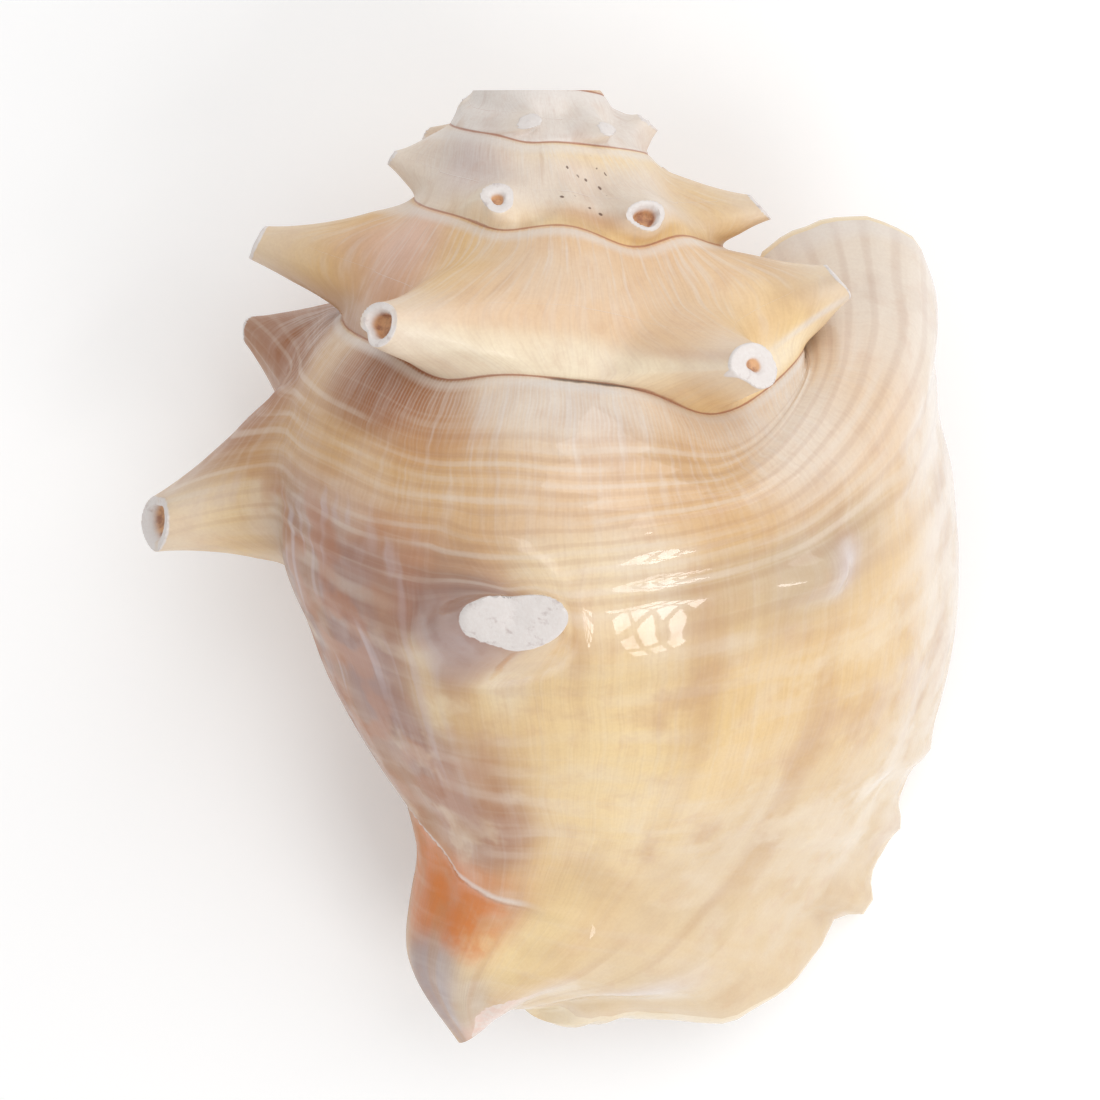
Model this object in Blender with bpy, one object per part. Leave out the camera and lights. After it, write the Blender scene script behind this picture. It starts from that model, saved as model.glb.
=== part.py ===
"""A queen conch shell lying on its aperture, with a worn spire, broken hollow spines and a flared lip.

The shell is one sheet of shell matter that rolls round a coil axis while it grows. Its own frame has
the axis along Y with the apex towards +Y, the flared lip towards +X and the back of the shell up +Z.
A place on the sheet has two numbers:

    back     turns back from the lip's edge: 0 at the lip, 1 a whole turn earlier, 4 near the apex
    across   0 at the suture, 1 where the next whorl covers the sheet, 2 at the end of the canal

Lengths are millimetres until the finished shell is scaled to metres. It is tipped apex up, as it
rests, and stands on the plane z = 0.
"""

import math

import bmesh
import bpy
import numpy as np
from mathutils import Matrix, Vector

# Driving dimensions, in millimetres, degrees and turns
MM = 0.001
SPIRE_GROWTH = 1.60          # each turn of the spire is this much larger than the one before
BODY_GROWTH = 1.28           # the last turn widens more slowly
BODY_START = 1.28            # turns back where the slower growth begins
LIP_ANGLE = -12.0            # degrees from level at which the lip's edge lies
CONE_TOP = 117.7             # height on the axis where the spire's cone would end in a point
CONE_DROP = 121.3            # how far below that the shoulder is at the lip
SPIRE_RADIUS = 93.0          # shoulder radius that the spire's growth would give at the lip
BODY_RADIUS = 49.0           # shoulder radius where the slower growth begins
SUTURE_DROP = 5.0            # how far below the last whorl's shoulder the suture runs
CLIMB_HEIGHT = 20.0          # how far the suture climbs the spire at the lip
CLIMB_INWARD = 9.0           # how far inwards it goes there
CLIMB_TURNS = 0.16           # the last part of a turn over which it climbs
APEX_CUT = 99.3              # height of the flat worn cut across the apex
CANAL_END = -105.0           # height of the broken end of the canal
CANAL_SLANT = 4.5            # how far the break slants over the canal's width
CANAL_SHIFT = -16.0          # how far the canal bends to the left at its end
TOP_SHIFT = -3.4             # how far the worn top leans to the left
CAVITY_TURNS = 0.45          # how far the hollow behind the aperture runs round the coil
CAVITY_RISE = 130.0          # how fast the foot of the hollow rises along the pillar, per turn
WALL = 4.0                   # thickness of the shell's wall
LIP_WALL = 5.5               # thickness of the lip at its edge
TIP_UP = 12.0                # degrees by which the resting shell has its apex raised
FLOOR = -51.5                # height of the floor below the axis, level with the middle of the shell
MIDDLE = (1.85, -3.56)       # x and y of the middle of the resting shell's box, which is the origin

# Outline of the lip from the suture round to the canal: x, y and z. Its first points belong to the
# sheet above the shoulder, which ends at this share of the outline
SHOULDER_END = 0.34
LIP_OUTLINE = (
    (45.5, 65.5, -10.0), (55.5, 71.3, -9.0), (66.1, 72.7, -10.5), (76.7, 68.5, -12.0),
    (82.0, 58.5, -13.5), (82.4, 45.0, -15.0), (84.6, 31.3, -17.0), (88.7, 15.3, -19.0), (91.1, -2.0, -20.5),
    (91.4, -20.6, -22.0), (88.1, -41.1, -23.5), (81.4, -59.0, -27.0), (78.4, -76.0, -33.0),
    (68.2, -91.0, -26.0), (52.8, -100.8, -9.0), (31.8, -104.4, -1.0), (11.8, -100.6, 0.5),
    (-3.2, -100.8, 1.5),
)

# Notches and scallops of the lip's edge: place across, how far it stands out, half width
SCALLOPS = (
    (1.396, 0.9, 0.013), (1.442, 0.2, 0.013), (1.486, 1.2, 0.014), (1.520, 0.2, 0.013),
    (1.577, 2.0, 0.012), (1.609, -0.8, 0.011), (1.646, -0.3, 0.014), (1.688, 0.1, 0.016),
    (1.732, 0.7, 0.014), (1.775, -0.4, 0.016), (1.808, 0.0, 0.014), (1.835, 1.0, 0.012),
    (1.862, 1.5, 0.013), (1.893, -0.2, 0.012),
)
SCALLOP_TURNS = 0.06         # how far back from the edge they fade out
SCALLOP_CENTRE = (22.0, -20.0, 0.0)  # they stand out away from here

# Share of the whorl's radius at even steps from below the shoulder to the canal's end, on the
# outside of the body and on the pillar inside it
BODY_TAPER = (1.0, 0.975, 0.90, 0.835, 0.745, 0.64, 0.53, 0.435, 0.385, 0.325, 0.21, 0.09)
PILLAR_TAPER = (1.0, 0.86, 0.62, 0.42, 0.29, 0.23, 0.205, 0.195, 0.19, 0.18, 0.15, 0.10)

# Each spine: turns back and across of its foot, tip (x, y, z), reach of the foot towards the older
# shell, the younger shell, the suture and the canal, half widths of the broken tip along and across
# the coil, depth of the hollow in it, and the slant of the break along x, y and z
SPINES = (
    (0.528, 0.93, (-83.8, 10.2, 5.0), (24, 22, 24, 22), (6.8, 6.0), 3.0, (0.0, -0.45, -0.45)),
    (0.615, 0.50, (-65.5, 46.0, -33.0), (20, 24, 24, 20), (4.5, 4.5), 0.0, (0.0, 0.0, 0.0)),
    (0.328, 1.075, (-6.9, 5.8, 74.0), (11, 25, 26, 11), (8.6, 5.6), 0.7, (0.10, 0.16, 0.0)),
    (0.690, 0.92, (-42.0, 25.0, -60.0), (17, 17, 17, 15), (5.0, 5.0), 0.0, (0.0, 0.0, 0.0)),
    (0.830, 0.92, (17.0, 30.0, -61.0), (16, 16, 16, 14), (5.0, 5.0), 0.0, (0.0, 0.0, 0.0)),
    (1.533, 0.70, (-63.0, 68.0, -9.0), (18, 18, 24, 10), (3.8, 3.8), 1.0, (0.0, 0.0, 0.0)),
    (1.372, 0.80, (-32.2, 57.0, 51.5), (14, 26, 22, 9), (4.6, 3.8), 3.0, (0.0, 0.0, 0.0)),
    (1.183, 0.79, (37.4, 49.4, 52.0), (24, 13, 18, 8), (5.4, 3.9), 1.0, (0.0, 0.0, 0.0)),
    (1.080, 0.66, (57.3, 62.0, 17.5), (20, 20, 24, 11), (5.6, 3.8), 1.0, (0.0, 0.0, 0.0)),
    (1.670, 0.66, (-42.0, 66.0, -50.0), (14, 14, 18, 10), (4.0, 4.0), 1.5, (0.0, 0.0, 0.0)),
    (1.830, 0.66, (14.0, 62.0, -55.0), (13, 13, 18, 10), (4.0, 4.0), 1.5, (0.0, 0.0, 0.0)),
    (2.530, 0.66, (-33.5, 86.0, 0.0), (11, 11, 14, 7), (1.8, 1.8), 0.0, (0.0, 0.0, 0.0)),
    (2.345, 0.80, (-10.7, 79.0, 29.5), (9, 12, 12, 6), (3.5, 3.2), 1.5, (0.0, 0.0, 0.0)),
    (2.190, 0.80, (18.0, 75.6, 29.5), (10, 12, 12, 6), (4.4, 3.0), 3.0, (0.0, 0.0, 0.0)),
    (2.045, 0.66, (43.0, 76.2, 4.5), (13, 12, 15, 9), (3.4, 3.3), 0.6, (0.0, 0.0, 0.0)),
    (1.955, 0.35, (25.0, 82.0, -17.0), (7, 7, 7, 7), (2.2, 2.2), 0.0, (0.0, 0.0, 0.0)),
    (2.660, 0.35, (-27.0, 90.0, -14.0), (7, 7, 7, 7), (2.2, 2.2), 0.0, (0.0, 0.0, 0.0)),
    (2.850, 0.60, (2.0, 83.0, -31.0), (9, 9, 11, 6), (2.5, 2.5), 1.0, (0.0, 0.0, 0.0)),
    (3.540, 0.66, (-18.6, 97.6, 1.5), (7, 7, 8, 5), (2.0, 1.8), 0.0, (0.0, 0.0, 0.0)),
    (3.340, 0.72, (-4.6, 93.6, 19.5), (7, 7, 8, 5), (2.5, 2.0), 0.0, (0.0, 0.0, 0.0)),
    (3.190, 0.72, (10.9, 92.0, 19.0), (6, 7, 8, 5), (2.2, 1.8), 0.0, (0.0, 0.0, 0.0)),
    (3.040, 0.66, (19.6, 93.4, 2.3), (8, 8, 8, 5), (2.6, 2.4), 0.0, (0.0, 0.0, 0.0)),
    (3.780, 0.66, (-4.0, 95.5, -18.0), (6, 6, 7, 4), (1.8, 1.8), 0.0, (0.0, 0.0, 0.0)),
)

# Shape of every spine
TIP_SHARE = 0.34             # share of the foot that becomes the broken tip
RISE_POWER = 1.7             # how late the foot turns up into the horn
WAIST_POWER = 1.15           # how soon the horn narrows
FOOT_TURNS = 0.3             # a foot takes in nothing further round the coil than this
SQUARE_HOLLOW = 1.2          # spines hollowed deeper than this are broken off square
MOUTH_SHARE = 0.06           # share of the foot inside the edge of a hollow
MOUTH_GROWTH = 0.045         # how much a deeper hollow adds to that, for each millimetre
MOUTH_EDGE = 0.05            # how rounded the edge of the hollow is
TIP_OVAL = 0.10              # how far a tip is from round, as a share of its half width
TIP_LOBES = 0.07             # how far it is three-sided
SUTURE_BAND = 0.10           # spines die out across this much of the sheet below a suture
COVERED_EDGE = 0.91          # and from here to the line that the next whorl covers

# Each low knob: turns back, across, reaches as for a spine, height
KNOBS = (
    (0.152, 1.035, (17, 7, 8, 8), 3.4), (0.093, 0.963, (9, 6, 6, 6), 1.2),
    (0.600, 0.42, (26, 26, 26, 24), 6.5),
)

# Where the suture is pushed down (or, below zero, drawn up) by the spines beside it: turns back of
# the suture and depth, and how wide each of these bends is
SAGS = ((0.36, 3.5), (0.18, 4.5), (0.105, -5.0), (1.34, 1.5), (1.27, -1.0), (1.205, 2.0), (1.145, -1.2),
        (2.30, 0.8))
SAG_TURNS = 0.035
GLAZE_TURNS_BACK = 0.110     # where the lip's glaze fills the seam under two spines
GLAZE_TURNS = 0.045          # how wide the filled place is
GLAZE_OUT = 6.5              # how far it lifts the suture outwards

# Fineness of the sheet before it is thinned
STEPS_PER_TURN = 160
UPPER_STEPS = 20
LOWER_STEPS = 34
RIM_STEPS = 4
SPIRE_TURNS = 4.4
TRIANGLES = 9300
CUTTER_SIDE = 0.3            # metres: the cutters are longer than the shell


def fade(value, start, end):
    """0 up to start, 1 from end on, with a smooth rise between them."""
    part = np.clip((value - start) / (end - start), 0.0, 1.0)
    return part * part * (3.0 - 2.0 * part)


def smooth_curve(points, at):
    """A Catmull-Rom curve through the points, read at the places 'at' from 0 to 1 along it."""
    points = np.asarray(points, float)
    ends = np.vstack((2 * points[0] - points[1], points, 2 * points[-1] - points[-2]))
    place = np.clip(at, 0.0, 1.0) * (len(points) - 1)
    first = np.minimum(place.astype(int), len(points) - 2)
    part = (place - first)[..., None]
    a, b, c, d = (ends[first + step] for step in range(4))
    return 0.5 * (2 * b + (c - a) * part + (2 * a - 5 * b + 4 * c - d) * part**2
                  + (3 * b - a - 3 * c + d) * part**3)


def smooth_share(shares, at):
    return smooth_curve(np.array(shares)[:, None], at)[..., 0]


def turn_angle(back):
    return math.radians(LIP_ANGLE) + 2 * math.pi * back


def shoulder(back):
    """Radius and height of the shoulder, the widest line of each whorl."""
    spire = SPIRE_RADIUS * SPIRE_GROWTH**-back
    body = BODY_RADIUS * BODY_GROWTH**(BODY_START - back)
    radius = (spire**-16.0 + body**-16.0)**(-1 / 16.0)
    return radius, CONE_TOP - CONE_DROP * SPIRE_GROWTH**-back


def suture(back):
    """Radius and height of the seam where a whorl starts on the one before it."""
    radius, height = shoulder(back + 1.0)
    height = height - SUTURE_DROP * SPIRE_GROWTH**(0.28 - back)
    for place, depth in SAGS:
        height = height - depth * np.exp(-((back - place) / SAG_TURNS)**2)
    climb = np.clip(1.0 - np.abs(back) / CLIMB_TURNS, 0.0, 1.0)**1.6
    glaze = GLAZE_OUT * np.exp(-((back - GLAZE_TURNS_BACK) / GLAZE_TURNS)**2)
    return radius - CLIMB_INWARD * climb + glaze, height + CLIMB_HEIGHT * climb


def coil(back, across):
    """The plain coiled sheet, with no spines and no flare."""
    top_radius, top_height = suture(back)
    low_radius, low_height = suture(back - 1.0)
    upper = np.clip(across, 0.0, 1.0)
    lower = np.clip(across - 1.0, 0.0, 1.0)
    angle = turn_angle(back)
    roundness = 1.5 + 1.3 * fade(-back, -1.25, -0.6) - 0.5 * fade(back, 1.6, 2.1)
    radius = top_radius + (low_radius - top_radius) * (1.0 - (1.0 - upper)**roundness)
    inside = fade(back, 0.70, 1.0)
    radius = radius * ((1 - inside) * smooth_share(BODY_TAPER, lower)
                       + inside * smooth_share(PILLAR_TAPER, lower))
    foot = (CANAL_END + CANAL_SLANT * np.cos(turn_angle(np.minimum(back, 1.0)))
            + CAVITY_RISE * np.maximum(back - 1.0, 0.0))
    height = (top_height + (low_height - top_height) * upper
              + (foot - low_height) * lower)
    centre = CANAL_SHIFT * fade(-height, 45.0, 100.0) + TOP_SHIFT * fade(height, 74.0, 92.0)
    return np.stack((centre + radius * np.cos(angle), height, radius * np.sin(angle)), axis=-1)


def one_coil(back, across):
    return coil(np.array([back]), np.array([across]))[0]


def lip_edge(across):
    """The lip's outline, from the end of the suture round to the canal."""
    outline = (one_coil(0.0, 0.0), *LIP_OUTLINE, one_coil(1.0, 2.0))
    upper = SHOULDER_END * np.clip(across, 0.0, 1.0)**1.8
    lower = (1.0 - SHOULDER_END) * np.clip(across - 1.0, 0.0, 1.0)
    return smooth_curve(outline, upper + lower)


def sheet(back, across):
    """The coiled sheet with its lip flared."""
    reach = 0.30 + 0.05 * across
    flare = np.clip(1.0 - np.maximum(back, 0.0) / reach, 0.0, 1.0)**2.0
    flared = coil(back, across) + flare[..., None] * (lip_edge(across) - coil(0.0 * back, across))
    wave = sum(depth * np.exp(-((across - place) / width)**2) for place, depth, width in SCALLOPS)
    margin = np.clip(1.0 - np.maximum(back, 0.0) / SCALLOP_TURNS, 0.0, 1.0)**2.0
    out = np.array(flared) * np.array((1.0, 1.0, 0.0)) - np.array(SCALLOP_CENTRE)
    out = out / np.maximum(np.linalg.norm(out, axis=-1), 1e-9)[..., None]
    return flared + out * (wave * margin)[..., None]


def outward(back, across):
    """Unit normals of the sheet, pointing away from the coil."""
    step = 1e-3
    along = sheet(back + 2 * step, across) - sheet(back, across)
    over = sheet(back, np.minimum(across + step, 2.0)) - sheet(back, np.maximum(across - step, 0.0))
    normal = np.cross(along, over)
    return normal / np.maximum(np.linalg.norm(normal, axis=-1), 1e-9)[..., None]


def spine_foot(spine):
    return sheet(np.array([spine[0]]), np.array([spine[1]]))[0]


def unit(vector):
    return vector / np.linalg.norm(vector)


def foot_share(spine, place, back):
    """How far each point lies from the middle of a spine's foot (0) to its edge (1), and its tip there."""
    centre = spine_foot(spine)
    older, newer, up, down = spine[3]
    along = unit(sheet(np.array([spine[0] + 0.01]), np.array([spine[1]]))[0] - centre)
    over = unit(sheet(np.array([spine[0]]), np.array([spine[1] + 0.01]))[0] - centre)
    offset = place - centre
    sideways = offset @ along
    downward = offset @ over
    share = np.hypot(sideways / np.where(sideways > 0, older, newer),
                     downward / np.where(downward > 0, down, up))
    share = np.where(np.abs(back - spine[0]) < FOOT_TURNS, share, 2.0)
    turned = np.arctan2(downward, sideways)
    tip_reach = 1.0 / np.hypot(np.cos(turned) / spine[4][0], np.sin(turned) / spine[4][1])
    return np.minimum(share, 1.0), offset, tip_reach, turned


def draw_spines(place, back, across):
    """Swells the knobs and draws the spines out of the sheet, each a trumpet with a broken tip."""
    covered = fade(back, 0.90, 1.0) * fade(across, COVERED_EDGE, 1.0)
    free = fade(across, 0.0, SUTURE_BAND) * (1.0 - covered)
    for knob in KNOBS:
        part = foot_share((knob[0], knob[1], None, knob[2], (1.0, 1.0)), place, back)[0]
        swell = knob[3] * (1.0 - part**2)**2
        place = place + (swell * free)[..., None] * outward(back, across)
    for spine in SPINES:
        tip, hollow, slant = spine[2], spine[5], spine[6]
        part, offset, tip_reach, turned = foot_share(spine, place, back)
        axis = np.array(tip) - spine_foot(spine)
        length = np.linalg.norm(axis)
        axis = axis / length
        oval = TIP_OVAL * np.sin(2.0 * turned + length)
        lobes = TIP_LOBES * np.sin(3.0 * turned + 2.0 * length)
        tip_reach = tip_reach * (1.0 + oval + lobes)
        away = np.linalg.norm(offset, axis=-1)
        foot_reach = away / np.maximum(part, 1e-6)
        rise = np.minimum((1.0 - part) / (1.0 - TIP_SHARE), 1.0)
        rise = rise**RISE_POWER * fade(rise, -0.05, 0.45)
        outside = np.clip((part - TIP_SHARE) / (1.0 - TIP_SHARE), 0.0, 1.0)
        spread = np.where(part < TIP_SHARE, part / TIP_SHARE * tip_reach,
                          tip_reach + (foot_reach - tip_reach) * outside**WAIST_POWER)
        square = (part < 1.0) * (hollow > SQUARE_HOLLOW) * (1.0 - outside)
        offset = offset - (offset @ axis * square)[..., None] * axis
        away = np.linalg.norm(offset, axis=-1)
        radial = offset * (spread / np.maximum(away, 1e-6))[..., None]
        mouth = MOUTH_SHARE + MOUTH_GROWTH * hollow
        sunk = 1.0 - fade(part, mouth - MOUTH_EDGE, mouth + MOUTH_EDGE)
        lift = length * rise - hollow * sunk + (radial @ np.array(slant)) * rise
        moved = spine_foot(spine) + radial + lift[..., None] * axis
        pulled = (free * (part < 1.0))[..., None]
        place = place + (moved - place) * pulled
    return place


def wall_depth(back, across):
    """Thickness of the wall: thick at the lip, and nothing where its two faces meet."""
    wall = WALL + (LIP_WALL - WALL) * (1.0 - fade(back, 0.0, 0.08))
    return wall * fade(across, 0.0, 0.18) * fade(2.0 - across, 0.0, 0.30)


def inner_face(back, across):
    """The inside of the outer wall, as seen through the aperture."""
    plain = sheet(back, across) - (wall_depth(back, across) + 1e-3)[..., None] * outward(back, across)
    roof = hollow_wall(back, 0.0 * across)
    foot = hollow_wall(back, 0.0 * across + 1.0)
    to_roof = (1.0 - fade(across, 0.0, 0.30))[..., None]
    to_foot = fade(across, 1.62, 2.0)[..., None]
    return plain * (1.0 - to_roof - to_foot) + roof * to_roof + foot * to_foot


def hollow_wall(back, down):
    """The wall of the turn before, seen inside the hollow, from its roof (0) down to its foot (1)."""
    roof = 0.04 * fade(back, 0.0, 0.08)
    return sheet(back + 1.0, 1.0 + roof + (1.0 - roof) * down)


def rim(turned, across):
    """The rounded edge of the lip, turned from the outside (0) to the inside (1)."""
    zero = 0.0 * across
    outer = sheet(zero, across)
    inner = inner_face(zero, across)
    ahead = sheet(zero, across) - sheet(zero + 0.004, across)
    ahead = ahead / np.maximum(np.linalg.norm(ahead, axis=-1), 1e-9)[..., None]
    half = np.linalg.norm(outer - inner, axis=-1)[..., None] / 2
    swing = (math.pi * turned)[..., None]
    return (outer + inner) / 2 + (outer - inner) / 2 * np.cos(swing) + ahead * half * np.sin(swing)


def spread_across(level, upper, lower):
    """Turns an even place over the grid, 0 to 1, into a place across the sheet, 0 to 2."""
    rows = level * (upper + lower)
    return np.where(rows < upper, rows / upper, 1.0 + (rows - upper) / lower)


def add_grid(bm, columns, rows, shape):
    """Adds a flat grid and lifts it into the shape that a function gives for its two places."""
    corners = bmesh.ops.create_grid(bm, x_segments=columns, y_segments=rows, size=0.5)["verts"]
    flat = np.array([corner.co for corner in corners]) + 0.5
    for corner, place in zip(corners, shape(flat[:, 0], flat[:, 1])):
        corner.co = place


def build_shell():
    bm = bmesh.new()

    def body(along, level):
        across = spread_across(level, UPPER_STEPS, LOWER_STEPS)
        return draw_spines(sheet(along, across), along, across)

    def spire(along, level):
        back = 1.0 + (SPIRE_TURNS - 1.0) * along
        return draw_spines(sheet(back, level), back, level)

    def lip_rim(along, level):
        return rim(along, spread_across(level, UPPER_STEPS, LOWER_STEPS))

    def inside(along, level):
        return inner_face(CAVITY_TURNS * along, spread_across(level, UPPER_STEPS, LOWER_STEPS))

    def pillar(along, level):
        return hollow_wall(CAVITY_TURNS * along, level)

    both = UPPER_STEPS + LOWER_STEPS
    hollow_steps = round(STEPS_PER_TURN * CAVITY_TURNS)
    add_grid(bm, STEPS_PER_TURN, both, body)
    add_grid(bm, round(STEPS_PER_TURN * (SPIRE_TURNS - 1.0)), UPPER_STEPS, spire)
    add_grid(bm, RIM_STEPS, both, lip_rim)
    add_grid(bm, hollow_steps, both, inside)
    add_grid(bm, hollow_steps, LOWER_STEPS, pillar)
    bmesh.ops.remove_doubles(bm, verts=bm.verts, dist=0.01)
    bmesh.ops.holes_fill(bm, edges=[edge for edge in bm.edges if edge.is_boundary])
    bmesh.ops.triangulate(bm, faces=[face for face in bm.faces if len(face.verts) > 4])
    bmesh.ops.recalc_face_normals(bm, faces=bm.faces)
    bmesh.ops.transform(bm, matrix=resting_place(), verts=bm.verts)
    return bm


def resting_place():
    """Takes the shell's own frame, in millimetres, to the frame it rests in, in metres."""
    tip = Matrix.Rotation(math.radians(TIP_UP), 4, "X")
    stand = Matrix.Translation((-MIDDLE[0], -MIDDLE[1], -FLOOR))
    return Matrix.Scale(MM, 4) @ stand @ tip


def add_cutter(collection, name, matrix):
    """A block whose top face, at its own origin, is where the shell is worn flat."""
    bm = bmesh.new()
    block = Matrix.Translation((0.0, 0.0, -CUTTER_SIDE / 2)) @ Matrix.Scale(CUTTER_SIDE, 4)
    bmesh.ops.create_cube(bm, size=1.0, matrix=block)
    mesh = bpy.data.meshes.new(name)
    bm.to_mesh(mesh)
    bm.free()
    cutter = bpy.data.objects.new(name, mesh)
    cutter.matrix_world = matrix
    cutter.hide_render = True
    cutter.display_type = "WIRE"
    collection.objects.link(cutter)
    return cutter


def shell_material():
    material = bpy.data.materials.new("polished_shell")
    material.use_nodes = True
    finish = material.node_tree.nodes["Principled BSDF"]
    finish.inputs["Base Color"].default_value = (0.75, 0.55, 0.34, 1.0)
    finish.inputs["Roughness"].default_value = 0.3
    finish.inputs["Metallic"].default_value = 0.0
    return material


def main():
    for old in list(bpy.data.objects):
        bpy.data.objects.remove(old)
    collection = bpy.data.collections.new("conch")
    cutter_collection = bpy.data.collections.new("cutters")
    for group in (collection, cutter_collection):
        bpy.context.scene.collection.children.link(group)
    mesh = bpy.data.meshes.new("conch_shell")
    bm = build_shell()
    full = sum(len(face.verts) - 2 for face in bm.faces)
    bm.to_mesh(mesh)
    bm.free()
    mesh.shade_smooth()
    mesh.materials.append(shell_material())
    shell = bpy.data.objects.new("conch_shell", mesh)
    collection.objects.link(shell)
    thin = shell.modifiers.new("thin", "DECIMATE")
    thin.ratio = TRIANGLES / full
    thin.use_collapse_triangulate = True
    apex_top = resting_place() @ Vector((0.0, APEX_CUT, 0.0))
    apex_turn = Matrix.Rotation(math.radians(TIP_UP + 90.0), 4, "X")
    cutters = (
        add_cutter(cutter_collection, "floor_cutter", Matrix.Identity(4)),
        add_cutter(cutter_collection, "apex_cutter", Matrix.Translation(apex_top) @ apex_turn),
    )
    for cutter in cutters:
        cut = shell.modifiers.new(cutter.name, "BOOLEAN")
        cut.operation = "DIFFERENCE"
        cut.solver = "EXACT"
        cut.object = cutter


main()
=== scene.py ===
# %% [markdown]
# # A queen conch lying on its aperture
#
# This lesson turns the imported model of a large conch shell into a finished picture. The shell on the
# table is one piece of shell matter: a sheet that rolled round an axis while the animal grew, drew out
# spines along its shoulder, and at the end flared into a broad lip.

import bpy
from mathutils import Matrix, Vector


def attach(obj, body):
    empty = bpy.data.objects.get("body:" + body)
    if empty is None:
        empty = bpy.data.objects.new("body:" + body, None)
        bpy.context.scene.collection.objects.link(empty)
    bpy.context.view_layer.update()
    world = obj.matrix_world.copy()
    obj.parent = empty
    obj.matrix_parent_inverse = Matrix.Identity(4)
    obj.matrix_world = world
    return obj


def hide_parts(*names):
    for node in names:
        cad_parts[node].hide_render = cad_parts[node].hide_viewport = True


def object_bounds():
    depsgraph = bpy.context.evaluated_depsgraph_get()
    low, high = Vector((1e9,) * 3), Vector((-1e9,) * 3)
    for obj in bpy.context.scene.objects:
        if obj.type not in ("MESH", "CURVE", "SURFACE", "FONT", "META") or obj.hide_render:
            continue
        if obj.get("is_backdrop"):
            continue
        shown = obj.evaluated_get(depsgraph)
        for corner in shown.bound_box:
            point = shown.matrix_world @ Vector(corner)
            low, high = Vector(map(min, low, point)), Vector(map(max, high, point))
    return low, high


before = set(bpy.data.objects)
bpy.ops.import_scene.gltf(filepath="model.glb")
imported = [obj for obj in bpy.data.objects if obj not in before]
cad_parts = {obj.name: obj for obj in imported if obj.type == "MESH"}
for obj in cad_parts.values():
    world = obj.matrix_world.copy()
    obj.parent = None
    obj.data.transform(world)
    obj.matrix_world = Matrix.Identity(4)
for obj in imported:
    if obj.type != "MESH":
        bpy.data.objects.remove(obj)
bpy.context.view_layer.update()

# %% Modules
import math

import bmesh
import bpy
import numpy as np
from mathutils import Matrix, Vector

# %% [markdown]
# ## The law of growth
#
# A snail only adds shell at the lip, so every earlier whorl is a smaller copy of the next one. A place
# on the sheet is therefore written with two numbers: `back`, the turns back from the lip's edge, and
# `across`, from the suture (0) over the shoulder (1) to the end of the canal (2). A curve could be
# screwed and scaled to get a plain spiral, but it could not slow its growth in the last whorl, let its
# suture climb at the lip, or flare. Formulas that lift a flat grid can, so they are used here.
#
# Lengths are in millimetres in the shell's own frame: axis along Y, apex up it, lip towards +X.

# %% The shoulder and the suture
SPIRE_GROWTH = 1.60
BODY_GROWTH = 1.28
BODY_START = 1.28
LIP_ANGLE = -12.0
CONE_TOP = 117.7
CONE_DROP = 121.3
SPIRE_RADIUS = 93.0
BODY_RADIUS = 49.0
SUTURE_DROP = 5.0
CLIMB_HEIGHT = 20.0
CLIMB_INWARD = 9.0
CLIMB_TURNS = 0.16

# Where spines push the suture down or, below zero, draw it up: turns back and depth
SAGS = ((0.36, 3.5), (0.18, 4.5), (0.105, -5.0), (1.34, 1.5), (1.27, -1.0), (1.205, 2.0), (1.145, -1.2),
        (2.30, 0.8))
SAG_TURNS = 0.035
GLAZE_TURNS_BACK = 0.110  # where the lip's glaze fills the seam under two spines
GLAZE_TURNS = 0.045  # how wide the filled place is
GLAZE_OUT = 6.5  # how far it lifts the suture outwards


def fade(value, start, end):
    """0 up to start, 1 from end on, with a smooth rise between them."""
    part = np.clip((value - start) / (end - start), 0.0, 1.0)
    return part * part * (3.0 - 2.0 * part)


def fade_out(value, start, end):
    """1 up to start, 0 from end on."""
    return 1.0 - fade(value, start, end)


def bell(value, centre, width):
    return np.exp(-((value - centre) / width)**2)


def turn_angle(back):
    return math.radians(LIP_ANGLE) + 2 * math.pi * back


def shoulder(back):
    """Radius and height of the shoulder, the widest line of each whorl."""
    spire = SPIRE_RADIUS * SPIRE_GROWTH**-back
    body = BODY_RADIUS * BODY_GROWTH**(BODY_START - back)
    radius = (spire**-16.0 + body**-16.0)**(-1 / 16.0)
    return radius, CONE_TOP - CONE_DROP * SPIRE_GROWTH**-back


def suture(back):
    """Radius and height of the seam where a whorl starts on the one before it."""
    radius, height = shoulder(back + 1.0)
    height = height - SUTURE_DROP * SPIRE_GROWTH**(0.28 - back)
    for place, depth in SAGS:
        height = height - depth * bell(back, place, SAG_TURNS)
    climb = np.clip(1.0 - np.abs(back) / CLIMB_TURNS, 0.0, 1.0)**1.6
    glaze = GLAZE_OUT * bell(back, GLAZE_TURNS_BACK, GLAZE_TURNS)
    return radius - CLIMB_INWARD * climb + glaze, height + CLIMB_HEIGHT * climb


print("shoulder radius at the lip and one turn back:",
      [round(float(shoulder(turns)[0]), 1) for turns in (0.0, 1.0)])

# %% [markdown]
# Below the shoulder the sheet draws in towards the canal. On the last turn it does so as the body, and on
# earlier turns, which end up inside, as the pillar that the coil winds round.

# %% The plain coil
APEX_CUT = 99.3
CANAL_END = -105.0
CANAL_SLANT = 4.5
CANAL_SHIFT = -16.0
TOP_SHIFT = -3.4
CAVITY_TURNS = 0.45
CAVITY_RISE = 130.0
BODY_TAPER = (1.0, 0.975, 0.90, 0.835, 0.745, 0.64, 0.53, 0.435, 0.385, 0.325, 0.21, 0.09)
PILLAR_TAPER = (1.0, 0.86, 0.62, 0.42, 0.29, 0.23, 0.205, 0.195, 0.19, 0.18, 0.15, 0.10)


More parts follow.
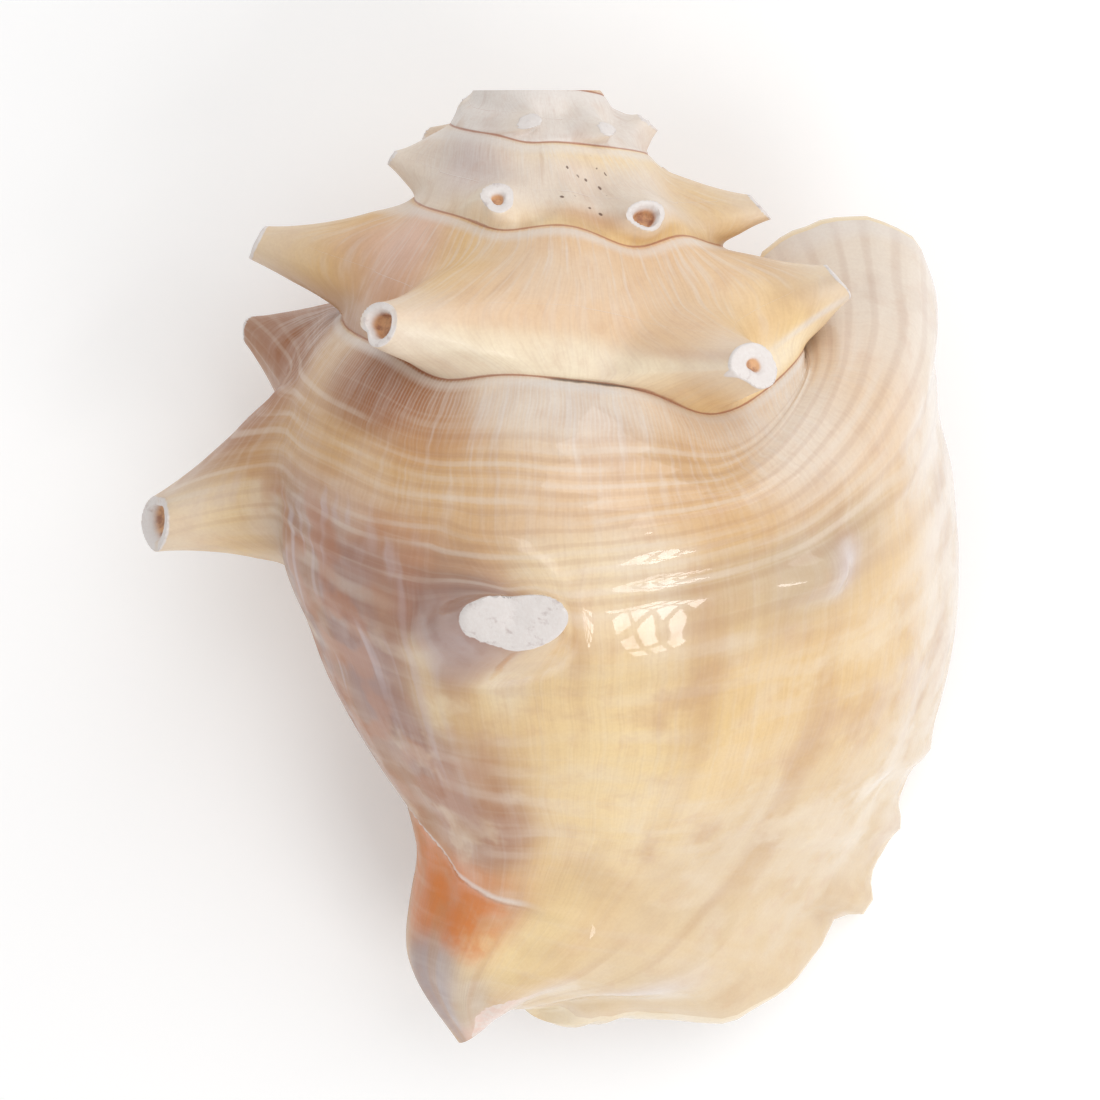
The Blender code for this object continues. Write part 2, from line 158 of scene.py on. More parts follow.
def smooth_curve(points, at):
    """A Catmull-Rom curve through the points, read at the places 'at' from 0 to 1 along it."""
    points = np.asarray(points, float)
    ends = np.vstack((2 * points[0] - points[1], points, 2 * points[-1] - points[-2]))
    place = np.clip(at, 0.0, 1.0) * (len(points) - 1)
    first = np.minimum(place.astype(int), len(points) - 2)
    part = (place - first)[..., None]
    a, b, c, d = (ends[first + step] for step in range(4))
    return 0.5 * (2 * b + (c - a) * part + (2 * a - 5 * b + 4 * c - d) * part**2
                  + (3 * b - a - 3 * c + d) * part**3)


def smooth_share(shares, at):
    return smooth_curve(np.array(shares)[:, None], at)[..., 0]


def unit_rows(vectors):
    return vectors / np.maximum(np.linalg.norm(vectors, axis=-1), 1e-9)[..., None]


def coil(back, across):
    """The plain coiled sheet, with no spines and no flare."""
    top_radius, top_height = suture(back)
    low_radius, low_height = suture(back - 1.0)
    upper = np.clip(across, 0.0, 1.0)
    lower = np.clip(across - 1.0, 0.0, 1.0)
    angle = turn_angle(back)
    roundness = 1.5 + 1.3 * fade(-back, -1.25, -0.6) - 0.5 * fade(back, 1.6, 2.1)
    radius = top_radius + (low_radius - top_radius) * (1.0 - (1.0 - upper)**roundness)
    inside = fade(back, 0.70, 1.0)
    radius = radius * ((1 - inside) * smooth_share(BODY_TAPER, lower)
                       + inside * smooth_share(PILLAR_TAPER, lower))
    foot = (CANAL_END + CANAL_SLANT * np.cos(turn_angle(np.minimum(back, 1.0)))
            + CAVITY_RISE * np.maximum(back - 1.0, 0.0))
    height = (top_height + (low_height - top_height) * upper
              + (foot - low_height) * lower)
    centre = CANAL_SHIFT * fade(-height, 45.0, 100.0) + TOP_SHIFT * fade(height, 74.0, 92.0)
    return np.stack((centre + radius * np.cos(angle), height, radius * np.sin(angle)), axis=-1)


# %% [markdown]
# ## The flared lip
#
# The adult lip leaves the coil and spreads like a wing. Its edge is a line in space through listed points,
# and the last third of a turn bends smoothly from the coil out to that line. Broad folds run into the lower
# margin and make it wavy.

# %% The lip's outline and the flared sheet
SHOULDER_END = 0.34  # how far along the outline the shoulder ends
LIP_OUTLINE = (
    (45.5, 65.5, -10.0), (55.5, 71.3, -9.0), (66.1, 72.7, -10.5), (76.7, 68.5, -12.0),
    (82.0, 58.5, -13.5), (82.4, 45.0, -15.0), (84.6, 31.3, -17.0), (88.7, 15.3, -19.0), (91.1, -2.0, -20.5),
    (91.4, -20.6, -22.0), (88.1, -41.1, -23.5), (81.4, -59.0, -27.0), (78.4, -76.0, -33.0),
    (68.2, -91.0, -26.0), (52.8, -100.8, -9.0), (31.8, -104.4, -1.0), (11.8, -100.6, 0.5),
    (-3.2, -100.8, 1.5),
)

# Notches and scallops of the lip's edge: place across, how far it stands out (mm), half width
SCALLOPS = (
    (1.396, 0.9, 0.013), (1.442, 0.2, 0.013), (1.486, 1.2, 0.014), (1.520, 0.2, 0.013),
    (1.577, 2.0, 0.012), (1.609, -0.8, 0.011), (1.646, -0.3, 0.014), (1.688, 0.1, 0.016),
    (1.732, 0.7, 0.014), (1.775, -0.4, 0.016), (1.808, 0.0, 0.014), (1.835, 1.0, 0.012),
    (1.862, 1.5, 0.013), (1.893, -0.2, 0.012),
)
SCALLOP_TURNS = 0.06  # how far back from the edge they fade out
SCALLOP_CENTRE = (22.0, -20.0, 0.0)  # they stand out away from here


def one_coil(back, across):
    return coil(np.array([back]), np.array([across]))[0]


def lip_edge(across):
    """The lip's outline, from the end of the suture round to the canal."""
    outline = (one_coil(0.0, 0.0), *LIP_OUTLINE, one_coil(1.0, 2.0))
    upper = SHOULDER_END * np.clip(across, 0.0, 1.0)**1.8
    lower = (1.0 - SHOULDER_END) * np.clip(across - 1.0, 0.0, 1.0)
    return smooth_curve(outline, upper + lower)


def near_lip(back, reach):
    """1 at the lip's edge, falling to 0 a reach behind it."""
    return np.clip(1.0 - np.maximum(back, 0.0) / reach, 0.0, 1.0)**2.0


def sheet(back, across):
    """The coiled sheet with its lip flared."""
    reach = 0.30 + 0.05 * across
    flare = near_lip(back, reach)
    flared = coil(back, across) + flare[..., None] * (lip_edge(across) - coil(0.0 * back, across))
    wave = sum(depth * bell(across, place, width) for place, depth, width in SCALLOPS)
    margin = near_lip(back, SCALLOP_TURNS)
    out = unit_rows(flared * np.array((1.0, 1.0, 0.0)) - np.array(SCALLOP_CENTRE))
    return flared + out * (wave * margin)[..., None]


def outward(back, across):
    """Unit normals of the sheet, pointing away from the coil."""
    step = 1e-3
    along = sheet(back + 2 * step, across) - sheet(back, across)
    over = sheet(back, np.minimum(across + step, 2.0)) - sheet(back, np.maximum(across - step, 0.0))
    return unit_rows(np.cross(along, over))


# %% [markdown]
# ## Low relief
#
# Between the suture and the shoulder the real shell has low wavy ridges that follow the coil, and its
# body swells and sinks a little along the growth lines. Both are far too broad for a bump texture to
# carry, so they move the sheet itself. The relief dies out at every edge where two whorls meet, so the
# edges still close.

# %% Ridges, folds, the base's ledge and the groove at the suture
LEDGE_BACK = (0.20, 0.275, 0.33, 0.384, 0.42, 0.46, 0.52)
LEDGE_ACROSS = (1.66, 1.653, 1.635, 1.602, 1.55, 1.48, 1.40)


def relief(back, across):
    """Height of the surface over the smooth sheet, in millimetres."""
    wander = 0.035 * np.sin(9.0 * back + 1.0) + 0.02 * np.sin(31.0 * back)
    ridges = np.sin(2 * math.pi * 9.0 * (across + wander))
    ridged = fade(across, 0.15, 0.4) * fade_out(across, 1.0, 1.25) * fade_out(back, 0.55, 0.8)
    ridged = ridged * (1.0 - 0.85 * bell(back, 0.285, 0.055) * bell(across, 0.95, 0.35))
    folds = np.sin(2 * math.pi * (17.0 * back + 0.6 * across) + 1.5 * np.sin(14.0 * back))
    folded = fade(across, 1.05, 1.3) * fade_out(across, 1.6, 1.8) * fade_out(back, 0.40, 0.6)
    lumps = np.sin(11.0 * back + 3.0 * across) * np.sin(5.0 * across - 17.0 * back + 1.0)
    broad = np.sin(2 * math.pi * (8.3 * back + 0.25 * across) + 0.6 * np.sin(6.0 * across))
    height = 0.24 * ridges * ridged + 0.12 * folds * folded + 0.35 * lumps * fade(across, 0.1, 0.4)
    swollen = fade(across, 0.9, 1.2) * fade_out(back, 0.38, 0.5) * fade(back, 0.0, 0.05)
    height = height + 0.55 * broad * swollen
    height = height - 1.2 * bell(across, 0.45, 0.2) * fade(back, 1.8, 2.1)
    flutes = sum(depth * bell(across, place, 1.6 * width) for place, depth, width in SCALLOPS)
    height = height + 1.3 * flutes * fade_out(back, 0.0, 0.14 + 0.05 * np.sin(23.0 * across))
    ledge = across - np.interp(back, LEDGE_BACK, LEDGE_ACROSS)
    below = fade(ledge, 0.0, 0.016) * fade_out(ledge, 0.06, 0.16) * fade(back, 0.22, 0.29)
    height = height - 1.0 * below * fade_out(back, 0.5, 0.7)
    seam = fade(across, 0.0, 0.05) * (1.0 - fade(back, 0.90, 1.0) * fade(across, 0.90, 1.0))
    return height * seam * fade_out(across, 1.93, 2.0)


def seam_groove(back, across):
    """The V along each suture, which both whorls share, deepest where it has cracked open."""
    above = back >= 1.0
    seam_back = np.where(above & (across > 0.5), back - 1.0, back)
    away = np.where(above, np.minimum(across, 1.0 - across), across)
    depth = (0.22 + 0.5 * bell(seam_back, 0.245, 0.05)) * fade(seam_back, 0.0, 0.05)
    angle = turn_angle(back)
    inward = np.stack((-np.cos(angle), 0.0 * angle, -np.sin(angle)), axis=-1)
    return inward * (depth * fade_out(away, 0.0, 0.028))[..., None]


def outer_face(back, across):
    raised = relief(back, across)[..., None] * outward(back, across)
    return sheet(back, across) + raised + seam_groove(back, across)


# %% [markdown]
# ## Spines and knobs
#
# Each spine was a fold of the growing edge, drawn out into a hollow horn. Modelling horns apart and
# joining them would leave a seam at the foot, so each one is pulled out of the sheet: points near its
# foot glide out along its axis on a trumpet-shaped profile. Most tips are broken and show the hollow.

# %% Where the spines stand
# Each spine: turns back, across, tip (x, y, z), reach of its foot (older side, newer side, up, down),
# half width of its tip (along the coil, across it), depth of the hollow, slant of the break
LEVEL = (0.0, 0.0, 0.0)
SPINES = (
    (0.528, 0.93, (-83.8, 10.2, 5.0), (24, 22, 24, 22), (6.8, 6.0), 3.0, (0.0, -0.45, -0.45)),
    (0.615, 0.50, (-65.5, 46.0, -33.0), (20, 24, 24, 20), (4.5, 4.5), 0.0, LEVEL),
    (0.328, 1.075, (-6.9, 5.8, 74.0), (11, 25, 26, 11), (8.6, 5.6), 0.7, (0.10, 0.16, 0.0)),
    (0.690, 0.92, (-42.0, 25.0, -60.0), (17, 17, 17, 15), (5.0, 5.0), 0.0, LEVEL),
    (0.830, 0.92, (17.0, 30.0, -61.0), (16, 16, 16, 14), (5.0, 5.0), 0.0, LEVEL),
    (1.533, 0.70, (-63.0, 68.0, -9.0), (18, 18, 24, 10), (3.8, 3.8), 1.0, LEVEL),
    (1.372, 0.80, (-32.2, 57.0, 51.5), (14, 26, 22, 9), (4.6, 3.8), 3.0, LEVEL),
    (1.183, 0.79, (37.4, 49.4, 52.0), (24, 13, 18, 8), (5.4, 3.9), 1.0, LEVEL),
    (1.080, 0.66, (57.3, 62.0, 17.5), (20, 20, 24, 11), (5.6, 3.8), 1.0, LEVEL),
    (1.670, 0.66, (-42.0, 66.0, -50.0), (14, 14, 18, 10), (4.0, 4.0), 1.5, LEVEL),
    (1.830, 0.66, (14.0, 62.0, -55.0), (13, 13, 18, 10), (4.0, 4.0), 1.5, LEVEL),
    (2.530, 0.66, (-33.5, 86.0, 0.0), (11, 11, 14, 7), (1.8, 1.8), 0.0, LEVEL),
    (2.345, 0.80, (-10.7, 79.0, 29.5), (9, 12, 12, 6), (3.5, 3.2), 1.5, LEVEL),
    (2.190, 0.80, (18.0, 75.6, 29.5), (10, 12, 12, 6), (4.4, 3.0), 3.0, LEVEL),
    (2.045, 0.66, (43.0, 76.2, 4.5), (13, 12, 15, 9), (3.4, 3.3), 0.6, LEVEL),
    (1.955, 0.35, (25.0, 82.0, -17.0), (7, 7, 7, 7), (2.2, 2.2), 0.0, LEVEL),
    (2.660, 0.35, (-27.0, 90.0, -14.0), (7, 7, 7, 7), (2.2, 2.2), 0.0, LEVEL),
    (2.850, 0.60, (2.0, 83.0, -31.0), (9, 9, 11, 6), (2.5, 2.5), 1.0, LEVEL),
    (3.540, 0.66, (-18.6, 97.6, 1.5), (7, 7, 8, 5), (2.0, 1.8), 0.0, LEVEL),
    (3.340, 0.72, (-4.6, 93.6, 19.5), (7, 7, 8, 5), (2.5, 2.0), 0.0, LEVEL),
    (3.190, 0.72, (10.9, 92.0, 19.0), (6, 7, 8, 5), (2.2, 1.8), 0.0, LEVEL),
    (3.040, 0.66, (19.6, 93.4, 2.3), (8, 8, 8, 5), (2.6, 2.4), 0.0, LEVEL),
    (3.780, 0.66, (-4.0, 95.5, -18.0), (6, 6, 7, 4), (1.8, 1.8), 0.0, LEVEL),
)

# Low worn knobs: turns back, across, reach (older side, newer side, up, down), height
KNOBS = (
    (0.152, 1.035, (17, 7, 8, 8), 3.4), (0.093, 0.963, (9, 6, 6, 6), 1.2),
    (0.600, 0.42, (26, 26, 26, 24), 6.5),
)

# %% [markdown]
# The first helpers say where a point stands in a spine's foot. The last one draws every spine out, and
# marks which points are stem, broken tip and hollow, so that the finish can colour them.

# %% Draw the spines out of the sheet
TIP_SHARE = 0.34  # share of the foot that becomes the broken tip
RISE_POWER = 1.7  # how late the foot turns up into the horn
WAIST_POWER = 1.15  # how soon the horn narrows
FOOT_TURNS = 0.3  # a foot takes in nothing further round the coil
SQUARE_HOLLOW = 1.2  # spines hollowed deeper than this (mm) are broken off square
PIT_HOLLOW = 0.8  # hollows deeper than this show brown inside
THIN_RIM = 0.62  # how much of a square break's rim is chalky
MOUTH_SHARE = 0.06  # share of the foot inside the edge of a hollow
MOUTH_GROWTH = 0.045  # what each millimetre of depth adds to it
MOUTH_EDGE = 0.05  # how rounded that edge is
TIP_OVAL = 0.10  # how far a tip is from round
TIP_LOBES = 0.07  # how far it is three-sided
SUTURE_BAND = 0.10  # spines die out across this much of the sheet below a suture
COVERED_EDGE = 0.91  # and from here to the line that the next whorl covers


def sheet_point(back, across):
    return sheet(np.array([back]), np.array([across]))[0]


def spine_foot(spine):
    return sheet_point(spine[0], spine[1])


def unit(vector):
    return vector / np.linalg.norm(vector)


def foot_share(spine, place, back):
    """How far each point lies from the middle of a spine's foot (0) to its edge (1), and its tip there."""
    centre = spine_foot(spine)
    older, newer, up, down = spine[3]
    along = unit(sheet_point(spine[0] + 0.01, spine[1]) - centre)
    over = unit(sheet_point(spine[0], spine[1] + 0.01) - centre)
    offset = place - centre
    sideways = offset @ along
    downward = offset @ over
    share = np.hypot(sideways / np.where(sideways > 0, older, newer),
                     downward / np.where(downward > 0, down, up))
    share = np.where(np.abs(back - spine[0]) < FOOT_TURNS, share, 2.0)
    turned = np.arctan2(downward, sideways)
    tip_reach = 1.0 / np.hypot(np.cos(turned) / spine[4][0], np.sin(turned) / spine[4][1])
    return np.minimum(share, 1.0), offset, tip_reach, turned


def draw_spines(place, back, across):
    """Draws the spines out of the sheet. Also gives how much of each point is spine, tip and hollow."""
    stem = np.zeros(len(place))
    broken = np.zeros(len(place))
    pit = np.zeros(len(place))
    covered = fade(back, 0.90, 1.0) * fade(across, COVERED_EDGE, 1.0)
    free = fade(across, 0.0, SUTURE_BAND) * (1.0 - covered)
    for knob in KNOBS:
        part = foot_share((knob[0], knob[1], None, knob[2], (1.0, 1.0)), place, back)[0]
        swell = knob[3] * (1.0 - part**2)**2
        place = place + (swell * free)[..., None] * outward(back, across)
    for spine in SPINES:
        tip, hollow, slant = spine[2], spine[5], spine[6]
        part, offset, tip_reach, turned = foot_share(spine, place, back)
        axis = np.array(tip) - spine_foot(spine)
        length = np.linalg.norm(axis)
        axis = axis / length
        oval = TIP_OVAL * np.sin(2.0 * turned + length)
        lobes = TIP_LOBES * np.sin(3.0 * turned + 2.0 * length)
        tip_reach = tip_reach * (1.0 + oval + lobes)
        away = np.linalg.norm(offset, axis=-1)
        foot_reach = away / np.maximum(part, 1e-6)
        rise = np.minimum((1.0 - part) / (1.0 - TIP_SHARE), 1.0)
        rise = rise**RISE_POWER * fade(rise, -0.05, 0.45)
        outside = np.clip((part - TIP_SHARE) / (1.0 - TIP_SHARE), 0.0, 1.0)
        spread = np.where(part < TIP_SHARE, part / TIP_SHARE * tip_reach,
                          tip_reach + (foot_reach - tip_reach) * outside**WAIST_POWER)
        square = (part < 1.0) * (hollow > SQUARE_HOLLOW) * (1.0 - outside)
        offset = offset - (offset @ axis * square)[..., None] * axis
        away = np.linalg.norm(offset, axis=-1)
        radial = offset * (spread / np.maximum(away, 1e-6))[..., None]
        mouth = MOUTH_SHARE + MOUTH_GROWTH * hollow
        sunk = fade_out(part, mouth - MOUTH_EDGE, mouth + MOUTH_EDGE)
        ragged = 0.16 * np.sin(2.0 * turned + length) + 0.05 * np.sin(5.0 * turned + 2.0 * length)
        ragged = ragged * tip_reach / 4.0 * fade(part, 0.2, 0.3) * fade_out(part, 0.34, 0.5)
        lift = length * rise - hollow * sunk + (radial @ np.array(slant)) * rise + ragged
        moved = spine_foot(spine) + radial + lift[..., None] * axis
        pulled = (free * (part < 1.0))[..., None]
        place = place + (moved - place) * pulled
        stem = np.maximum(stem, rise * free)
        worn = THIN_RIM if hollow > SQUARE_HOLLOW else 1.0
        broken = np.maximum(broken, worn * fade_out(part, 0.33, 0.375))
        if hollow > PIT_HOLLOW:
            pit = np.maximum(pit, sunk)
    return place, stem, broken, pit


print(len(SPINES), "spines, the longest",
      round(max(math.dist(spine[2], spine_foot(spine)) for spine in SPINES), 1), "mm")

# %% [markdown]
# ## The inside
#
# The aperture opens between the lip and the pillar. The inner face of the outer wall lies a wall's
# thickness under the outside, and the hollow's other wall is simply the outside of the turn before.

# %% Wall, hollow and rim
WALL = 4.0
LIP_WALL = 5.5


def wall_depth(back, across):
    """Thickness of the wall: thick at the lip, and nothing where its two faces meet."""
    wall = WALL + (LIP_WALL - WALL) * fade_out(back, 0.0, 0.08)
    return wall * fade(across, 0.0, 0.18) * fade(2.0 - across, 0.0, 0.30)


def hollow_wall(back, down):
    """The wall of the turn before, seen inside the hollow, from its roof (0) down to its foot (1)."""
    roof = 0.04 * fade(back, 0.0, 0.08)
    return sheet(back + 1.0, 1.0 + roof + (1.0 - roof) * down)


def inner_face(back, across):
    """The inside of the outer wall, as seen through the aperture."""
    plain = sheet(back, across) - (wall_depth(back, across) + 1e-3)[..., None] * outward(back, across)
    roof = hollow_wall(back, 0.0 * across)
    foot = hollow_wall(back, 0.0 * across + 1.0)
    to_roof = fade_out(across, 0.0, 0.30)[..., None]
    to_foot = fade(across, 1.62, 2.0)[..., None]
    return plain * (1.0 - to_roof - to_foot) + roof * to_roof + foot * to_foot


def rim(turned, across):
    """The rounded edge of the lip, turned from the outside (0) to the inside (1)."""
    zero = 0.0 * across
    outer = outer_face(zero, across)
    inner = inner_face(zero, across)
    ahead = unit_rows(sheet(zero, across) - sheet(zero + 0.004, across))
    half = np.linalg.norm(outer - inner, axis=-1)[..., None] / 2
    swing = (math.pi * turned)[..., None]
    return (outer + inner) / 2 + (outer - inner) / 2 * np.cos(swing) + ahead * half * np.sin(swing)


# %% [markdown]
# ## Where the shell changes colour
#
# The shell is cream where it is young and polished, rosy brown on the worn left flank, orange at the
# base and whitish on the worn top. These are slow changes that belong to places on the sheet, so they
# are washes that fade into one another, worked out by a formula at every point of the mesh. A few
# washes are painted shade instead: on the broken knob's flank, under a spine of the second whorl, on
# the low knob's side and beside the canal's ridge. A few along the second whorl's lower edge are
# partly painted light. The fine pattern is laid over them later, in the material.

# %% Paints and washes
def paint(red, green, blue):
    """A colour as a screen shows it, turned into the light it stands for."""
    share = np.array((red, green, blue)) / 255.0
    return np.where(share <= 0.04045, share / 12.92, ((share + 0.055) / 1.055)**2.4)


CREAM = paint(240, 220, 186)
PALE = paint(236, 222, 206)
BUTTER = paint(245, 217, 163)
HONEY = paint(228, 190, 126)
TAN = paint(216, 173, 118)
PEACH = paint(234, 201, 165)
ROSE = paint(206, 156, 122)
BROWN = paint(166, 113, 81)
PLUM = paint(153, 113, 103)
ORANGE = paint(220, 124, 44)
IVORY = paint(255, 246, 226)
UMBER = paint(156, 92, 46)
AMBER = paint(204, 150, 98)
SLATE = paint(176, 158, 156)
LILAC = paint(208, 194, 198)
PUTTY = paint(200, 178, 150)
BLUSH = paint(238, 200, 182)
SAND = paint(222, 194, 152)
CHALK = paint(233, 226, 220)

# Each wash: turns back, across, how far it spreads back and across, paint, weight
WASHES = (
    (0.27, 0.12, 0.1, 0.14, PALE, 1.0), (0.25, 0.45, 0.07, 0.2, PEACH, 1.0),
    (0.205, 0.4, 0.03, 0.22, TAN, 2.5), (0.1, 0.6, 0.04, 0.3, PEACH, 0.8), (0.04, 0.6, 0.04, 0.4, PALE, 2.0),
    (0.135, 0.5, 0.025, 0.22, PALE, 2.0), (0.03, 0.35, 0.04, 0.3, PALE, 1.5),
    (0.02, 1.15, 0.04, 0.4, PALE, 1.4), (0.11, 1.22, 0.05, 0.22, HONEY, 1.0),
    # The putty washes on the next line darken the low knob's side: partly its own greyish colour, partly
    # painted shade.
    (0.15, 1.0, 0.03, 0.07, PUTTY, 2.0), (0.2, 1.02, 0.03, 0.1, PUTTY, 1.0),
    (0.145, 1.03, 0.008, 0.03, LILAC, 5.0), (0.27, 0.85, 0.03, 0.14, CREAM, 1.5),
    (0.24, 1.32, 0.05, 0.2, BUTTER, 1.0), (0.2, 1.2, 0.02, 0.2, HONEY, 1.2),
    # The two plum washes on the next line are painted shade on the broken knob's steep left flank.
    (0.34, 1.1, 0.008, 0.06, PLUM, 7.0), (0.345, 1.0, 0.014, 0.08, PLUM, 3.0),
    (0.354, 1.12, 0.007, 0.03, SAND, 6.0), (0.312, 1.14, 0.008, 0.04, CREAM, 3.0),
    (0.36, 0.45, 0.05, 0.2, TAN, 1.2), (0.38, 0.8, 0.04, 0.2, ROSE, 1.2), (0.42, 1.1, 0.05, 0.25, PLUM, 3.0),
    # The umber wash that ends the next line is partly the shell's own brown and partly painted shadow cast
    # by the spine of the second whorl above it.
    (0.395, 0.95, 0.03, 0.15, PLUM, 2.0), (0.385, 0.15, 0.03, 0.12, UMBER, 8.0),
    (0.355, 0.25, 0.02, 0.1, AMBER, 5.0), (0.345, 1.2, 0.022, 0.05, BUTTER, 3.0),
    (0.4, 1.35, 0.05, 0.14, BROWN, 2.2), (0.352, 1.44, 0.025, 0.07, BROWN, 8.0),
    (0.405, 1.24, 0.03, 0.12, PLUM, 7.0), (0.41, 1.66, 0.05, 0.06, ORANGE, 10.0),
    (0.34, 1.66, 0.03, 0.04, ROSE, 2.0), (0.29, 1.73, 0.05, 0.08, BUTTER, 1.5),
    # The slate wash that ends the next line is partly the canal's own lilac and partly painted shade beside
    # its ridge.
    (0.335, 1.67, 0.03, 0.035, AMBER, 3.5), (0.4, 1.84, 0.035, 0.09, SLATE, 5.0),
    (0.32, 1.91, 0.025, 0.06, PUTTY, 5.0), (0.27, 1.99, 0.06, 0.03, BLUSH, 6.0),
    (0.1, 1.7, 0.08, 0.2, CREAM, 1.0), (0.53, 0.93, 0.04, 0.14, BUTTER, 2.0),
    (0.585, 0.36, 0.05, 0.25, UMBER, 7.0), (0.6, 0.45, 0.05, 0.3, AMBER, 1.6),
    (0.75, 0.6, 0.1, 0.5, ROSE, 1.0), (0.7, 1.4, 0.14, 0.4, BROWN, 1.0), (1.28, 0.4, 0.1, 0.35, PEACH, 1.3),
    (1.16, 0.3, 0.06, 0.25, PEACH, 1.0), (1.1, 0.6, 0.06, 0.3, BUTTER, 1.5),
    (1.2, 0.93, 0.05, 0.12, HONEY, 1.5), (1.2, 0.78, 0.03, 0.06, ROSE, 1.5),
    # Cream and ivory along the second whorl's lower edge, on this line and two lines on, are partly its own
    # pale band and partly painted light on a side that faces away from the lamps.
    (1.32, 0.92, 0.07, 0.13, CREAM, 6.0), (1.338, 0.93, 0.035, 0.09, IVORY, 9.0),
    (1.105, 0.79, 0.02, 0.02, CHALK, 4.0), (1.12, 0.6, 0.03, 0.12, TAN, 1.5),
    (1.26, 0.9, 0.05, 0.12, IVORY, 2.5), (1.14, 0.86, 0.03, 0.08, IVORY, 1.5),
    (1.43, 0.6, 0.04, 0.3, ROSE, 1.6), (1.46, 0.95, 0.04, 0.15, BROWN, 2.0),
    (1.53, 0.6, 0.04, 0.3, HONEY, 2.0), (1.54, 0.95, 0.05, 0.1, BROWN, 1.0),
    (1.75, 0.6, 0.15, 0.5, TAN, 1.0), (2.28, 0.4, 0.18, 0.5, PALE, 1.2), (2.33, 0.9, 0.06, 0.15, CREAM, 1.5),
    (2.22, 0.97, 0.08, 0.1, HONEY, 2.5), (2.24, 0.84, 0.05, 0.08, AMBER, 1.5),
    (2.04, 0.6, 0.05, 0.3, HONEY, 2.0), (2.5, 0.5, 0.1, 0.5, PALE, 1.0), (2.75, 0.5, 0.2, 0.6, PEACH, 0.8),
    (3.3, 0.5, 0.45, 0.8, CHALK, 2.0), (2.18, 0.08, 0.1, 0.12, BUTTER, 1.5),
    (2.4, 0.35, 0.06, 0.3, LILAC, 1.5), (1.43, 0.32, 0.04, 0.2, BLUSH, 1.2),
    (1.36, 0.3, 0.03, 0.2, HONEY, 1.5), (0.09, 1.62, 0.07, 0.22, SAND, 3.0),
    (0.03, 1.55, 0.05, 0.2, SAND, 4.0), (0.1, 1.76, 0.02, 0.05, LILAC, 2.5),
    (0.17, 1.5, 0.04, 0.12, SAND, 1.0),
)
GROUND_WEIGHT = 0.12  # tan where no wash reaches
LEDGE_SCALE = 110.0  # millimetres of surface for one step across, near the base


def wash_colour(back, across):
    """The shell's slow colour at each place on the sheet."""
    colour = GROUND_WEIGHT * TAN + np.zeros((len(back), 1))
    total = np.full((len(back), 1), GROUND_WEIGHT)
    for wash_back, wash_across, wide, high, hue, weight in WASHES:
        share = weight * bell(back, wash_back, wide) * bell(across, wash_across, high)
        colour = colour + share[:, None] * hue
        total = total + share[:, None]
    return np.hstack((colour / total, np.ones((len(back), 1))))


def ledge_distance(back, across):
    """Distance below the ledge of the base, in millimetres."""
    return LEDGE_SCALE * (across - np.interp(back, LEDGE_BACK, LEDGE_ACROSS))


def seam_distance(back, across):
    """Distance from the nearest seam in millimetres, negative on the older whorl above it."""
    zero = 0.0 * back
    ramp = np.linalg.norm(sheet(back, zero + 0.02) - sheet(back, zero), axis=-1) / 0.02
    foot = np.linalg.norm(sheet(back, zero + 1.0) - sheet(back, zero + 0.98), axis=-1) / 0.02
    above = (back >= 1.0) & (across > 0.5)
    return np.where(above, (across - 1.0) * foot, across * ramp)


print(len(WASHES), "washes")

# %% [markdown]
# ## Lifting flat grids into the shell
#
# Six flat grids become the body, the spire, the spire's top, the lip's rim, the inner face and the
# pillar. The outside ones are cut finer where spines stand before they are lifted. Each grid keeps its
# place on the sheet as a UV map, which later carries bands and growth lines along with the growth.
# Neighbouring grids share their edges, so merging the doubles closes the whole shell.

# %% A patch of the shell
UPPER_STEPS = 36
LOWER_STEPS = 84
STEPS_PER_TURN = 200
RIM_STEPS = 10
HOLLOW_STEPS = 60
SPIRE_TURNS = 4.4
FINE_SPINES = (0, 2, 5, 6, 7, 8, 12, 13, 14)  # the ones on the back of the shell are cut twice
FOOT_NEARNESS = 0.98  # how much of a foot is cut finer once
TIP_NEARNESS = 0.6  # and how much is cut finer twice


def spread_across(level):
    """Turns an even place over the grid, 0 to 1, into a place across the sheet, 0 to 2."""
    rows = level * (UPPER_STEPS + LOWER_STEPS)
    return np.where(rows < UPPER_STEPS, crowd(rows / UPPER_STEPS),
                    1.0 + (rows - UPPER_STEPS) / LOWER_STEPS)


def crowd(level):
    """Crowds the rows towards the two sutures, where the groove needs them."""
    return level - 0.5 * np.sin(2 * math.pi * level) / (2 * math.pi)


def flat_places(patch):
    return np.array([corner.co[:] for corner in patch.verts])[:, :2]


def cut_near_spines(patch, places, lift, spines, nearness):
    """Halves the grid's edges that end up near these spines. Edges at a seam stay whole."""
    flat = flat_places(patch)
    back, across = places(flat[:, 0], flat[:, 1])
    place = lift(back, across)
    patch.verts.index_update()
    ends = np.array([[corner.index for corner in edge.verts] for edge in patch.edges])
    near = np.zeros(len(ends), bool)
    for spine in spines:
        near |= foot_share(spine, place[ends].mean(axis=1), back[ends].mean(axis=1))[0] < nearness
    chosen = [edge for edge, wanted in zip(patch.edges, near) if wanted and not edge.is_boundary]
    if chosen:
        bmesh.ops.subdivide_edges(patch, edges=chosen, cuts=1, use_grid_fill=True)


